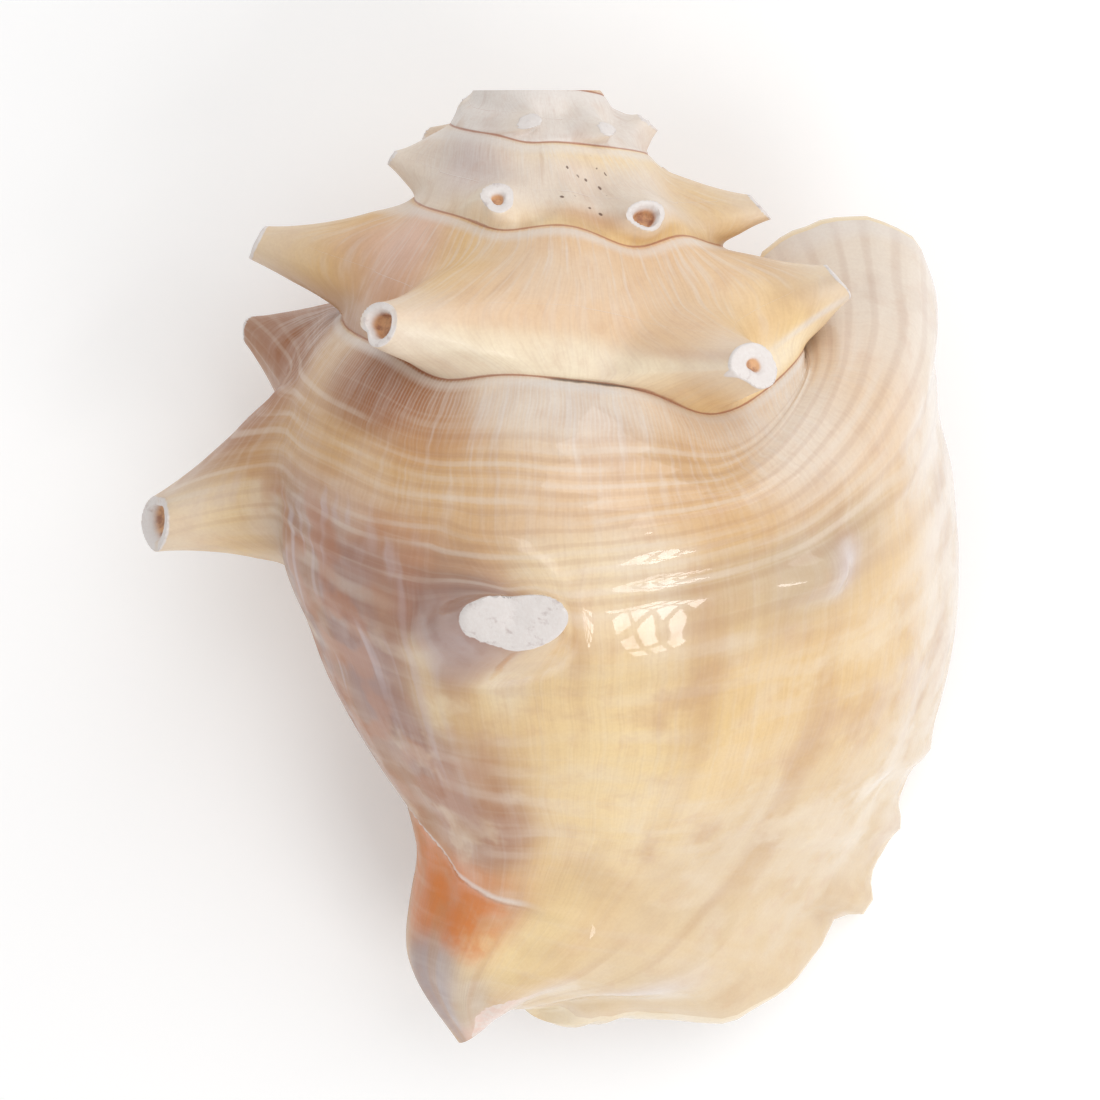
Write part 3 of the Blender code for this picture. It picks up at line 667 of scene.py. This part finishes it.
def add_patch(shell, columns, rows, places, lift, is_outside, meets_finer=None):
    """Lifts a flat grid into shape and adds it to the shell."""
    patch = bmesh.new()
    bmesh.ops.create_grid(patch, x_segments=columns, y_segments=rows, size=0.5)
    bmesh.ops.translate(patch, verts=patch.verts, vec=(0.5, 0.5, 0.0))
    if meets_finer:
        seam = [edge for edge in patch.edges if all(meets_finer(corner.co) for corner in edge.verts)]
        bmesh.ops.subdivide_edges(patch, edges=seam, cuts=1)
    if is_outside:
        cut_near_spines(patch, places, lift, SPINES, FOOT_NEARNESS)
        cut_near_spines(patch, places, lift, [SPINES[number] for number in FINE_SPINES], TIP_NEARNESS)
    flat = flat_places(patch)
    back, across = places(flat[:, 0], flat[:, 1])
    growth = np.stack((back, across), axis=-1)
    place = lift(back, across) if is_outside else lift(flat[:, 0], flat[:, 1])
    stem = broken = pit = np.zeros(len(place))
    if is_outside:
        place, stem, broken, pit = draw_spines(place, back, across)
    growth_map = patch.loops.layers.uv.new("growth")
    corner_layers = [patch.loops.layers.float.new(name) for name in ("inside", "seam", "ledge")]
    tone_layer = patch.loops.layers.float_color.new("tone")
    marks = [patch.verts.layers.float.new(name) for name in ("stem", "broken", "pit")]
    tone = wash_colour(back, across)
    inside = np.full(len(place), 0.0 if is_outside else 1.0)
    corner_values = (inside, seam_distance(back, across), ledge_distance(back, across))
    patch.verts.index_update()
    for corner in patch.verts:
        corner.co = place[corner.index]
        for layer, values in zip(marks, (stem, broken, pit)):
            corner[layer] = values[corner.index]
    for face in patch.faces:
        for loop in face.loops:
            loop[growth_map].uv = growth[loop.vert.index]
            for layer, values in zip(corner_layers, corner_values):
                loop[layer] = values[loop.vert.index]
            loop[tone_layer] = tone[loop.vert.index]
    mesh = bpy.data.meshes.new("patch")
    patch.to_mesh(mesh)
    patch.free()
    shell.from_mesh(mesh)
    bpy.data.meshes.remove(mesh)
    print("patch of", len(place), "points")


# %% Build the whole shell
def build_shell():
    shell = bmesh.new()
    both = UPPER_STEPS + LOWER_STEPS

    def body_places(along, level):
        return along, spread_across(level)

    def spire_places(along, level):
        return 1.0 + along, crowd(level)

    def top_places(along, level):
        return 2.0 + (SPIRE_TURNS - 2.0) * along, crowd(level)

    def meets_finer(corner):
        """The top patch has half the fineness, so its edges towards the spire patch are halved."""
        at_start = corner.x < 1e-6
        below = corner.y > 1.0 - 1e-6 and corner.x < 1.0 / (SPIRE_TURNS - 2.0) + 1e-6
        return at_start or below

    def rim_places(turned, level):
        return 0.0 * turned, spread_across(level)

    def hollow_places(along, level):
        return CAVITY_TURNS * along, spread_across(level)

    def pillar_places(along, level):
        return 1.0 + CAVITY_TURNS * along, 1.0 + level

    add_patch(shell, STEPS_PER_TURN, both, body_places, outer_face, True)
    add_patch(shell, STEPS_PER_TURN, UPPER_STEPS, spire_places, outer_face, True)
    add_patch(shell, round(STEPS_PER_TURN * (SPIRE_TURNS - 2.0) / 2), UPPER_STEPS // 2, top_places,
              outer_face, True, meets_finer)
    add_patch(shell, RIM_STEPS, both, rim_places, lambda u, v: rim(u, spread_across(v)), False)
    add_patch(shell, HOLLOW_STEPS, both, hollow_places,
              lambda u, v: inner_face(*hollow_places(u, v)), False)
    add_patch(shell, HOLLOW_STEPS, LOWER_STEPS, pillar_places,
              lambda u, v: hollow_wall(CAVITY_TURNS * u, v), False)
    return shell


# %% [markdown]
# The shell rests tipped, apex up, on a spine and a knob under its left side and on the lip's edge. It
# is moved there, scaled to metres, and cut level with the floor and across its worn apex.

# %% Close the shell and stand it on the floor
MM = 0.001
TIP_UP = 12.0
FLOOR = -51.5
MIDDLE = (1.85, -3.56)
MERGE_DISTANCE = 0.004  # millimetres
SHARP_EDGE = 50.0  # degrees
FAR_FROM_SEAM = 9.0  # keeps the seam's line off the caps


def resting_place():
    tip = Matrix.Rotation(math.radians(TIP_UP), 4, "X")
    stand = Matrix.Translation((-MIDDLE[0], -MIDDLE[1], -FLOOR))
    return Matrix.Scale(MM, 4) @ stand @ tip


def close_holes(shell, border):
    """Closes the rings of open edges with chalky faces."""
    caps = bmesh.ops.holes_fill(shell, edges=border)["faces"]
    tone = shell.loops.layers.float_color["tone"]
    seam = shell.loops.layers.float["seam"]
    for face in caps:
        for loop in face.loops:
            loop[tone] = (*CHALK, 1.0)
            loop[seam] = FAR_FROM_SEAM


def cut_flat(shell, point, direction):
    """Cuts away what lies past a plane and closes the cut."""
    everything = [*shell.verts, *shell.edges, *shell.faces]
    cut = bmesh.ops.bisect_plane(shell, geom=everything, plane_co=point, plane_no=direction,
                                 clear_outer=True, dist=1e-7)
    close_holes(shell, [part for part in cut["geom_cut"] if isinstance(part, bmesh.types.BMEdge)])


def open_edges(shell):
    return [edge for edge in shell.edges if not edge.is_manifold]


def add_object(name, data):
    thing = bpy.data.objects.new(name, data)
    bpy.context.scene.collection.objects.link(thing)
    return thing


shell = build_shell()
bmesh.ops.remove_doubles(shell, verts=shell.verts, dist=MERGE_DISTANCE)
print("open edges after merging:", len(open_edges(shell)))
close_holes(shell, [edge for edge in shell.edges if edge.is_boundary])
bmesh.ops.recalc_face_normals(shell, faces=shell.faces)
bmesh.ops.transform(shell, matrix=resting_place(), verts=shell.verts)
cut_flat(shell, (0.0, 0.0, 0.0), (0.0, 0.0, -1.0))
apex_top = resting_place() @ Vector((0.0, APEX_CUT, 0.0))
apex_direction = Matrix.Rotation(math.radians(TIP_UP), 3, "X") @ Vector((0.0, 1.0, 0.0))
cut_flat(shell, apex_top, apex_direction)
bmesh.ops.triangulate(shell, faces=[face for face in shell.faces if len(face.verts) > 4])
print("open edges at the end:", len(open_edges(shell)))
conch_mesh = bpy.data.meshes.new("conch")
shell.to_mesh(conch_mesh)
shell.free()
conch_mesh.shade_smooth()
conch_mesh.set_sharp_from_angle(angle=math.radians(SHARP_EDGE))
conch = add_object("conch", conch_mesh)
triangles = sum(len(face.vertices) - 2 for face in conch_mesh.polygons)
print("conch:", triangles, "triangles, sides in mm", [round(side * 1000, 1) for side in conch.dimensions])
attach(conch, "root")
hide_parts("conch_shell")

# %% [markdown]
# ## The finish
#
# The material lays the fine pattern over the washes: growth lines that run across the coil, bands that
# run along it, cloudy blotches, the dark line at each seam, chalky broken tips and a polished coat that
# is worn in places. Everything follows the growth map or the object's own coordinates.

# %% Small helpers for wiring a material
material = bpy.data.materials.new("polished_shell")
material.use_nodes = True
tree = material.node_tree
finish = tree.nodes["Principled BSDF"]


def new_node(kind):
    return tree.nodes.new("ShaderNode" + kind)


def join(value, socket):
    if isinstance(value, bpy.types.NodeSocket):
        tree.links.new(value, socket)
    elif isinstance(value, np.ndarray):
        socket.default_value = (*value, 1.0)
    else:
        socket.default_value = value


def set_inputs(node, values):
    for name, value in values.items():
        join(value, node.inputs[name])


def calc(operation, *values):
    step = new_node("Math")
    step.operation = operation
    for value, socket in zip(values, step.inputs):
        join(value, socket)
    return step.outputs[0]


def times(*values):
    total = values[0]
    for value in values[1:]:
        total = calc("MULTIPLY", total, value)
    return total


def plus(first, second):
    return calc("ADD", first, second)


def without(value):
    return calc("SUBTRACT", 1.0, value)


def between(value, start, end):
    """0 up to start, 1 from end on."""
    step = new_node("MapRange")
    step.interpolation_type = "SMOOTHSTEP"
    for number, part in enumerate((value, start, end)):
        join(part, step.inputs[number])
    return step.outputs[0]


def up_to(value, start, end):
    """1 up to start, 0 from end on."""
    return without(between(value, start, end))


def around(value, centre, reach):
    """1 at the centre, fading to 0 a reach away on both sides."""
    return up_to(calc("ABSOLUTE", calc("SUBTRACT", value, centre)), 0.0, reach)


def mix(share, low, high):
    step = new_node("Mix")
    step.data_type = "RGBA"
    step.clamp_factor = True
    for number, value in ((0, share), (6, low), (7, high)):
        join(value, step.inputs[number])
    return step.outputs[2]


def vector(*parts):
    step = new_node("CombineXYZ")
    for part, socket in zip(parts, step.inputs):
        join(part, socket)
    return step.outputs[0]


def cloud(coordinates, scale, detail=2.0, roughness=0.5):
    """A soft random pattern around 0.5."""
    step = new_node("TexNoise")
    set_inputs(step, {"Vector": coordinates, "Scale": scale, "Detail": detail, "Roughness": roughness})
    return step.outputs[0]


def streaks(place, many, few, offset, detail=2.0, roughness=0.5):
    """A soft pattern on the growth map, stretched along the coil or across it."""
    spot = vector(times(place, many), times(across, few), offset)
    return cloud(spot, 1.0, detail, roughness)


def mark(name):
    step = new_node("Attribute")
    step.attribute_name = name
    return step


# %% [markdown]
# The mesh hands its place on the sheet, its wash and six marks to the material, which reads them here.

# %% Read the growth map and the marks
growth_node = new_node("UVMap")
growth_node.uv_map = "growth"
growth_parts = new_node("SeparateXYZ")
tree.links.new(growth_node.outputs[0], growth_parts.inputs[0])
back = growth_parts.outputs[0]
across = growth_parts.outputs[1]
here = new_node("TexCoord").outputs["Object"]
tone = mark("tone").outputs["Color"]
inside = mark("inside").outputs["Fac"]
stem, broken, pit = (mark(name).outputs["Fac"] for name in ("stem", "broken", "pit"))
seam, ledge = (mark(name).outputs["Fac"] for name in ("seam", "ledge"))
outside = without(inside)

# %% [markdown]
# Growth lines are stretched noise: many per turn, long across the sheet. Four sizes of them keep the
# surface from looking combed. They are strongest under the seam, white on cream, with fine even ribs.

# %% Growth lines
FULL_TURN = 6.2832  # radians in one wave
slow_bend = times(0.010, cloud(here, 60.0))
line_back = plus(back, slow_bend)
broad_lines = streaks(line_back, 62.0, 1.6, 0.0)
fine_lines = streaks(line_back, 260.0, 2.6, 3.0)
hair_lines = streaks(line_back, 640.0, 6.0, 7.0, 1.0)
white_lines = between(fine_lines, 0.44, 0.74)
rib_bend = times(2.0, streaks(back, 40.0, 6.0, 4.0))
rib_wave = calc("SINE", times(FULL_TURN, plus(times(line_back, 410.0), rib_bend)))
ribs = times(0.6, between(rib_wave, -0.3, 1.0))
rib_reach = up_to(across, 0.08, plus(0.20, times(0.35, broad_lines)))
dark_lines = up_to(broad_lines, 0.25, 0.42)
under_seam = up_to(across, 0.10, 0.80)
wide_lines = streaks(line_back, 21.0, 1.1, 5.0)

# %% [markdown]
# Bands run the other way, along the coil. They wander and break off, and clouds of two sizes blotch
# what lies between them.

# %% Bands along the coil, and blotches
band_wander = times(0.16, streaks(back, 7.0, 2.0, 0.0))
band_place = times(plus(across, band_wander), 12.0)
band_wave = calc("SINE", times(band_place, FULL_TURN))
band_breaks = between(streaks(back, 9.0, 9.0, 5.0), 0.38, 0.62)
on_body = up_to(back, 0.85, 1.05)
pale_bands = times(between(band_wave, 0.1, 1.0), band_breaks, on_body)
fine_bands = streaks(back, 3.0, 46.0, 9.0)
blotches = cloud(here, 42.0, 3.0, 0.6)
small_blotches = cloud(here, 150.0, 3.0, 0.6)

soft_wander = times(3.0, streaks(back, 6.0, 3.0, 2.0))
soft_band_place = plus(times(across, 15.0), soft_wander)
soft_bands = between(calc("SINE", times(soft_band_place, FULL_TURN)), 0.0, 1.0)
band_cloud = streaks(back, 14.0, 4.0, 8.0)
band_patches = between(band_cloud, 0.42, 0.62)

# %% [markdown]
# The patterns go on one at a time, each a thin layer of a paint close to the wash under it, so that no
# single one draws the eye.

# %% Lay the pattern over the washes
colours = [tone]


def lay(hue, *shares):
    """Lays a paint over the last colour, as strongly as the product of the shares."""
    colours.append(mix(times(*shares), colours[-1], hue))


on_ramp = times(between(across, 0.12, 0.30), up_to(across, 1.0, 1.25))
lay(mix(0.55, tone, BROWN), 0.42, between(blotches, 0.50, 0.72))
lay(mix(0.6, tone, PALE), 0.45, up_to(blotches, 0.30, 0.48))
lay(mix(0.5, tone, ROSE), 0.30, between(small_blotches, 0.52, 0.70))
lay(mix(0.5, tone, BROWN), plus(0.12, times(0.28, under_seam)), dark_lines, between(back, 0.05, 0.16))
smooth_front = times(0.7, between(across, 1.2, 1.6), up_to(back, 0.2, 0.35))
lip_calm = times(without(smooth_front), plus(0.35, times(0.65, between(back, 0.04, 0.14))))
fresh = without(times(0.65, around(back, 0.42, 0.09)))
lay(CHALK, plus(0.10, times(0.26, under_seam)), white_lines, lip_calm, fresh)
lay(CHALK, 0.42, ribs, rib_reach, plus(0.4, times(0.6, fresh)), on_body)
lay(mix(0.5, TAN, BROWN), 0.40, between(wide_lines, 0.50, 0.66), between(across, 0.6, 1.1),
    between(back, 0.06, 0.16))
lay(BROWN, 0.07, lip_calm, between(hair_lines, 0.45, 0.65))
lay(PALE, 0.36, on_ramp, pale_bands)
lay(BROWN, 0.16, on_ramp, on_body, up_to(band_wave, -1.0, -0.2))
lay(PALE, 0.09, on_body, between(fine_bands, 0.5, 0.7))
low_body = times(between(across, 1.0, 1.2), up_to(across, 1.50, 1.62))
lay(PALE, 0.20, on_body, low_body, soft_bands, band_patches)
marbling = streaks(back, 15.0, 6.5, 12.0, 4.0, 0.62)
lay(mix(0.55, ROSE, BROWN), 0.32, low_body, on_body, between(marbling, 0.52, 0.68))
lay(CREAM, 0.40, low_body, on_body, up_to(marbling, 0.34, 0.46))

# %% [markdown]
# A few stains are stronger than the marbling: on the left flank and on the spine behind. Plum under the
# broken knob is painted shade on its steep left flank. They go on over it.

# %% Stains and painted shade that lie over the marbling
# Each stain or patch of painted shade: turns back, across, how far it spreads back and across, paint,
# strength
STAINS_AND_SHADE = (
    (0.352, 1.44, 0.030, 0.10, BROWN, 0.75), (0.405, 1.24, 0.035, 0.16, PLUM, 0.75),
    # The plum entry that starts the next line is painted shade on the broken knob's steep left flank.
    (0.339, 1.090, 0.012, 0.07, PLUM, 1.00), (0.584, 0.40, 0.060, 0.30, UMBER, 0.50),
)
for dark_back, dark_across, wide, high, hue, strength in STAINS_AND_SHADE:
    lay(hue, strength, around(back, dark_back, wide), around(across, dark_across, high))

# %% [markdown]
# The left flank was rubbed: pale lilac scratches run down it between orange-brown patches. The scratches
# are growth lines with a hard edge, kept to that flank by the growth map.

# %% The rubbed flank
flank = times(around(back, 0.43, 0.13), between(across, 0.55, 0.85), up_to(across, 1.35, 1.6))
scratch_lines = streaks(line_back, 110.0, 3.0, 11.0, 1.0)
patchy = between(cloud(here, 95.0), 0.45, 0.6)
lay(mix(0.7, ORANGE, BROWN), 0.55, flank, patchy)
rubbed_here = between(cloud(here, 60.0, 1.0), 0.42, 0.58)
lay(LILAC, 0.55, flank, rubbed_here, between(scratch_lines, 0.48, 0.68))

# %% [markdown]
# Below a thin pale ledge the base turns deep orange, and past the orange the canal is lilac and cream.
# The thin brown line just under the pale edge is painted shade on the step that the ledge makes.

# %% The ledge, its painted shade and the orange base
near_ledge = times(between(back, 0.275, 0.32), up_to(back, 0.44, 0.50), outside)
base_orange = times(between(ledge, 0.0, 1.2), up_to(ledge, 12.0, 19.0), between(back, 0.27, 0.35),
                    near_ledge)
orange_clouds = plus(0.35, times(0.65, between(small_blotches, 0.35, 0.6)))
lay(ORANGE, 0.80, base_orange, orange_clouds)
pale_edge = times(around(ledge, -0.5, plus(0.5, times(1.3, small_blotches))), near_ledge)
lay(CHALK, 0.6, pale_edge)
# Painted shade: a brown line on the step just under the ledge
lay(BROWN, 0.40, around(ledge, 0.6, 0.8), near_ledge)

# %% [markdown]
# Each seam is a thin red-brown line with a whitish band under it. One stretch has cracked open, and
# the near-black line there is painted shade inside the crack. Its width wavers, so it doesn't look ruled.

# %% The seams
SEAM_BROWN = paint(176, 112, 84)
# Near-black painted shade inside the open crack of the seam
CRACK_SHADE = paint(58, 34, 24)
waver = cloud(here, 260.0, 3.0)
seam_away = calc("ABSOLUTE", seam)
is_crack = between(around(back, 0.258, 0.040), 0.0, 0.5)
line_width = plus(plus(0.02, times(0.36, waver)), times(0.8, is_crack, waver))
seam_line = up_to(seam_away, times(0.5, line_width), plus(line_width, 0.12))
under_band = times(between(seam, 0.3, 0.9), up_to(seam, 1.4, 3.4), outside)
lay(CHALK, 0.55, under_band)
lay(mix(is_crack, SEAM_BROWN, CRACK_SHADE), 0.75, seam_line, outside)

# %% [markdown]
# Boring worms left a few pinholes in the second whorl. A cell pattern gives one possible hole a cell,
# and a coarse cloud keeps only some of them.

# %% Pinholes
cells = new_node("TexVoronoi")
cells.voronoi_dimensions = "2D"
cell_place = vector(times(back, 60.0), times(across, 6.5), 0.0)
set_inputs(cells, {"Vector": cell_place, "Scale": 1.0})
second_whorl = times(between(around(back, 2.24, 0.09), 0.1, 0.2),
                     between(around(across, 0.5, 0.5), 0.1, 0.2))
kept_holes = between(cloud(here, 210.0, 1.0), 0.61, 0.63)
pinholes = times(up_to(cells.outputs["Distance"], 0.08, 0.14), kept_holes, second_whorl)
lay(paint(92, 62, 44), 0.85, pinholes)

# %% [markdown]
# Old breaks are chalky. The spines' tips, their brown hollows and the end of the canal each get their
# own colour, with a ragged border.

# %% Chalky broken tips and their hollows, and the broken end of the canal
chalk_grain = cloud(here, 420.0, 4.0, 0.6)
chalk = mix(between(chalk_grain, 0.28, 0.45), paint(210, 198, 194), paint(234, 227, 223))
old_stem = plus(0.2, times(0.8, without(times(on_body, without(around(back, 0.52, 0.08))))))
lay(PALE, 0.5, between(stem, 0.25, 0.9), old_stem)
ragged = plus(broken, times(0.7, plus(cloud(here, 190.0), -0.5)))
lay(chalk, between(ragged, 0.40, 0.60))
hollow_brown = mix(between(chalk_grain, 0.35, 0.60), paint(168, 104, 60), paint(224, 168, 110))
lay(hollow_brown, 0.85, between(pit, 0.25, 0.8))

break_place = plus(plus(across, times(-1.2, back)), times(0.05, cloud(here, 330.0, 3.0)))
canal_break = times(between(break_place, 1.618, 1.624), between(back, 0.19, 0.23), outside)
break_pink = mix(between(chalk_grain, 0.35, 0.65), paint(236, 204, 190), paint(236, 220, 210))
lay(break_pink, 0.85, canal_break)

# %% [markdown]
# The inside is smooth enamel, cream at the lip and pink farther in.

# %% The enamel inside
PINK = paint(238, 190, 166)
enamel = mix(between(back, 0.0, 0.12), CREAM, PINK)
enamel = mix(times(0.3, between(blotches, 0.45, 0.7)), enamel, CREAM)
lay(enamel, inside)
grain = cloud(here, 1500.0)
lay(mix(0.5, colours[-1], BROWN), 0.10, between(grain, 0.35, 0.65))
join(colours[-1], finish.inputs["Base Color"])

# %% [markdown]
# Polish is what catches the window. It is nearly whole on the front of the body, worn on the spire, and
# gone on the chalky tips.

# %% Polish and fine relief
rubbed = between(cloud(here, 110.0, 4.0, 0.6), 0.45, 0.65)
chalky = between(broken, 0.35, 0.75)
polished = up_to(calc("ABSOLUTE", calc("SUBTRACT", back, 0.18)), 0.12, 0.35)
roughness = plus(0.34, times(0.16, rubbed))
roughness = plus(roughness, times(0.10, without(polished)))
roughness = plus(times(roughness, without(chalky)), times(0.85, chalky))
coat = times(plus(0.20, times(0.75, polished)), without(times(0.5, rubbed)), without(chalky))
set_inputs(finish, {"Roughness": roughness, "Coat Weight": coat, "Coat Roughness": 0.03,
                    "Coat IOR": 1.5, "Specular IOR Level": 0.45})

ripple = times(outside, plus(times(0.5, fine_lines), times(0.35, fine_bands)))
ripple = plus(ripple, times(0.15, hair_lines, outside))
ripple = plus(ripple, times(1.5, chalk_grain, chalky))
bump = new_node("Bump")
set_inputs(bump, {"Strength": 0.6, "Distance": 0.00022, "Height": ripple})
join(bump.outputs[0], finish.inputs["Normal"])
conch_mesh.materials.append(material)
print("material nodes:", len(tree.nodes))

# %% [markdown]
# ## The picture
#
# The shell lies on a pale floor that glows faintly, so that it stays white. A big soft light comes from
# the spire's side, a weak one fills the front, and sixteen small panes stand for a window that the
# polish mirrors. The camera looks straight down on the back of the shell.

# %% The floor and the room's own light
WHITE = (1.0, 1.0, 1.0, 1.0)
floor_shape = bmesh.new()
bmesh.ops.create_grid(floor_shape, x_segments=1, y_segments=1, size=3.0)
bmesh.ops.translate(floor_shape, verts=floor_shape.verts, vec=(0.0, 0.0, -0.0001))
floor_mesh = bpy.data.meshes.new("floor")
floor_shape.to_mesh(floor_mesh)
floor_shape.free()
floor = add_object("floor", floor_mesh)
floor_paint = bpy.data.materials.new("pale_floor")
floor_paint.use_nodes = True
set_inputs(floor_paint.node_tree.nodes["Principled BSDF"],
           {"Base Color": (0.9, 0.9, 0.9, 1.0), "Roughness": 0.9,
            "Emission Color": WHITE, "Emission Strength": 0.16})
floor_mesh.materials.append(floor_paint)
floor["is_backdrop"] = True

world = bpy.data.worlds.new("studio")
world.use_nodes = True
set_inputs(world.node_tree.nodes["Background"], {"Color": WHITE, "Strength": 0.60})
bpy.context.scene.world = world

# %% The lights
SHELL_MIDDLE = (0.0, 0.0, 0.05)
PANES = 4  # a side
FIRST_PANE = (-66.0, 36.0)  # its direction and height over the floor, in degrees
PANE_STEP = (9.5, 6.5)


def add_softbox(name, place, width, height, power):
    lamp = bpy.data.lights.new(name, "AREA")
    lamp.shape = "RECTANGLE"
    lamp.size = width
    lamp.size_y = height
    lamp.energy = power
    holder = add_object(name, lamp)
    facing = (Vector(SHELL_MIDDLE) - Vector(place)).to_track_quat("-Z", "Y")
    holder.matrix_world = Matrix.Translation(place) @ facing.to_matrix().to_4x4()


def along_ray(azimuth, elevation, distance):
    """A place at this distance and in this direction from the middle of the floor."""
    turned = math.radians(azimuth)
    raised = math.radians(elevation)
    level = distance * math.cos(raised)
    return level * math.cos(turned), level * math.sin(turned), distance * math.sin(raised)


add_softbox("sky", along_ray(50.0, 55.0, 1.1), 0.9, 0.9, 3.8)
add_softbox("fill", along_ray(-95.0, 40.0, 1.2), 0.9, 0.5, 0.5)
for column in range(PANES):
    for row in range(PANES):
        azimuth = FIRST_PANE[0] + PANE_STEP[0] * column
        elevation = FIRST_PANE[1] + PANE_STEP[1] * row
        add_softbox("pane", along_ray(azimuth, elevation, 1.0), 0.09, 0.08, 0.15)

# %% The camera
camera_data = bpy.data.cameras.new("camera")
camera_data.sensor_width = 36.0
camera_data.lens = 68.75
camera = add_object("camera", camera_data)
camera.location = (-0.00249, 0.00676, 0.5015)
bpy.context.scene.camera = camera
bpy.context.scene.view_settings.view_transform = "Standard"

# %% [markdown]
# Last, the box of what is seen is printed.

# %% Print the visible box and finish
low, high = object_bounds()
print("visual box:", [round(v * 1000, 1) for v in (high - low)])
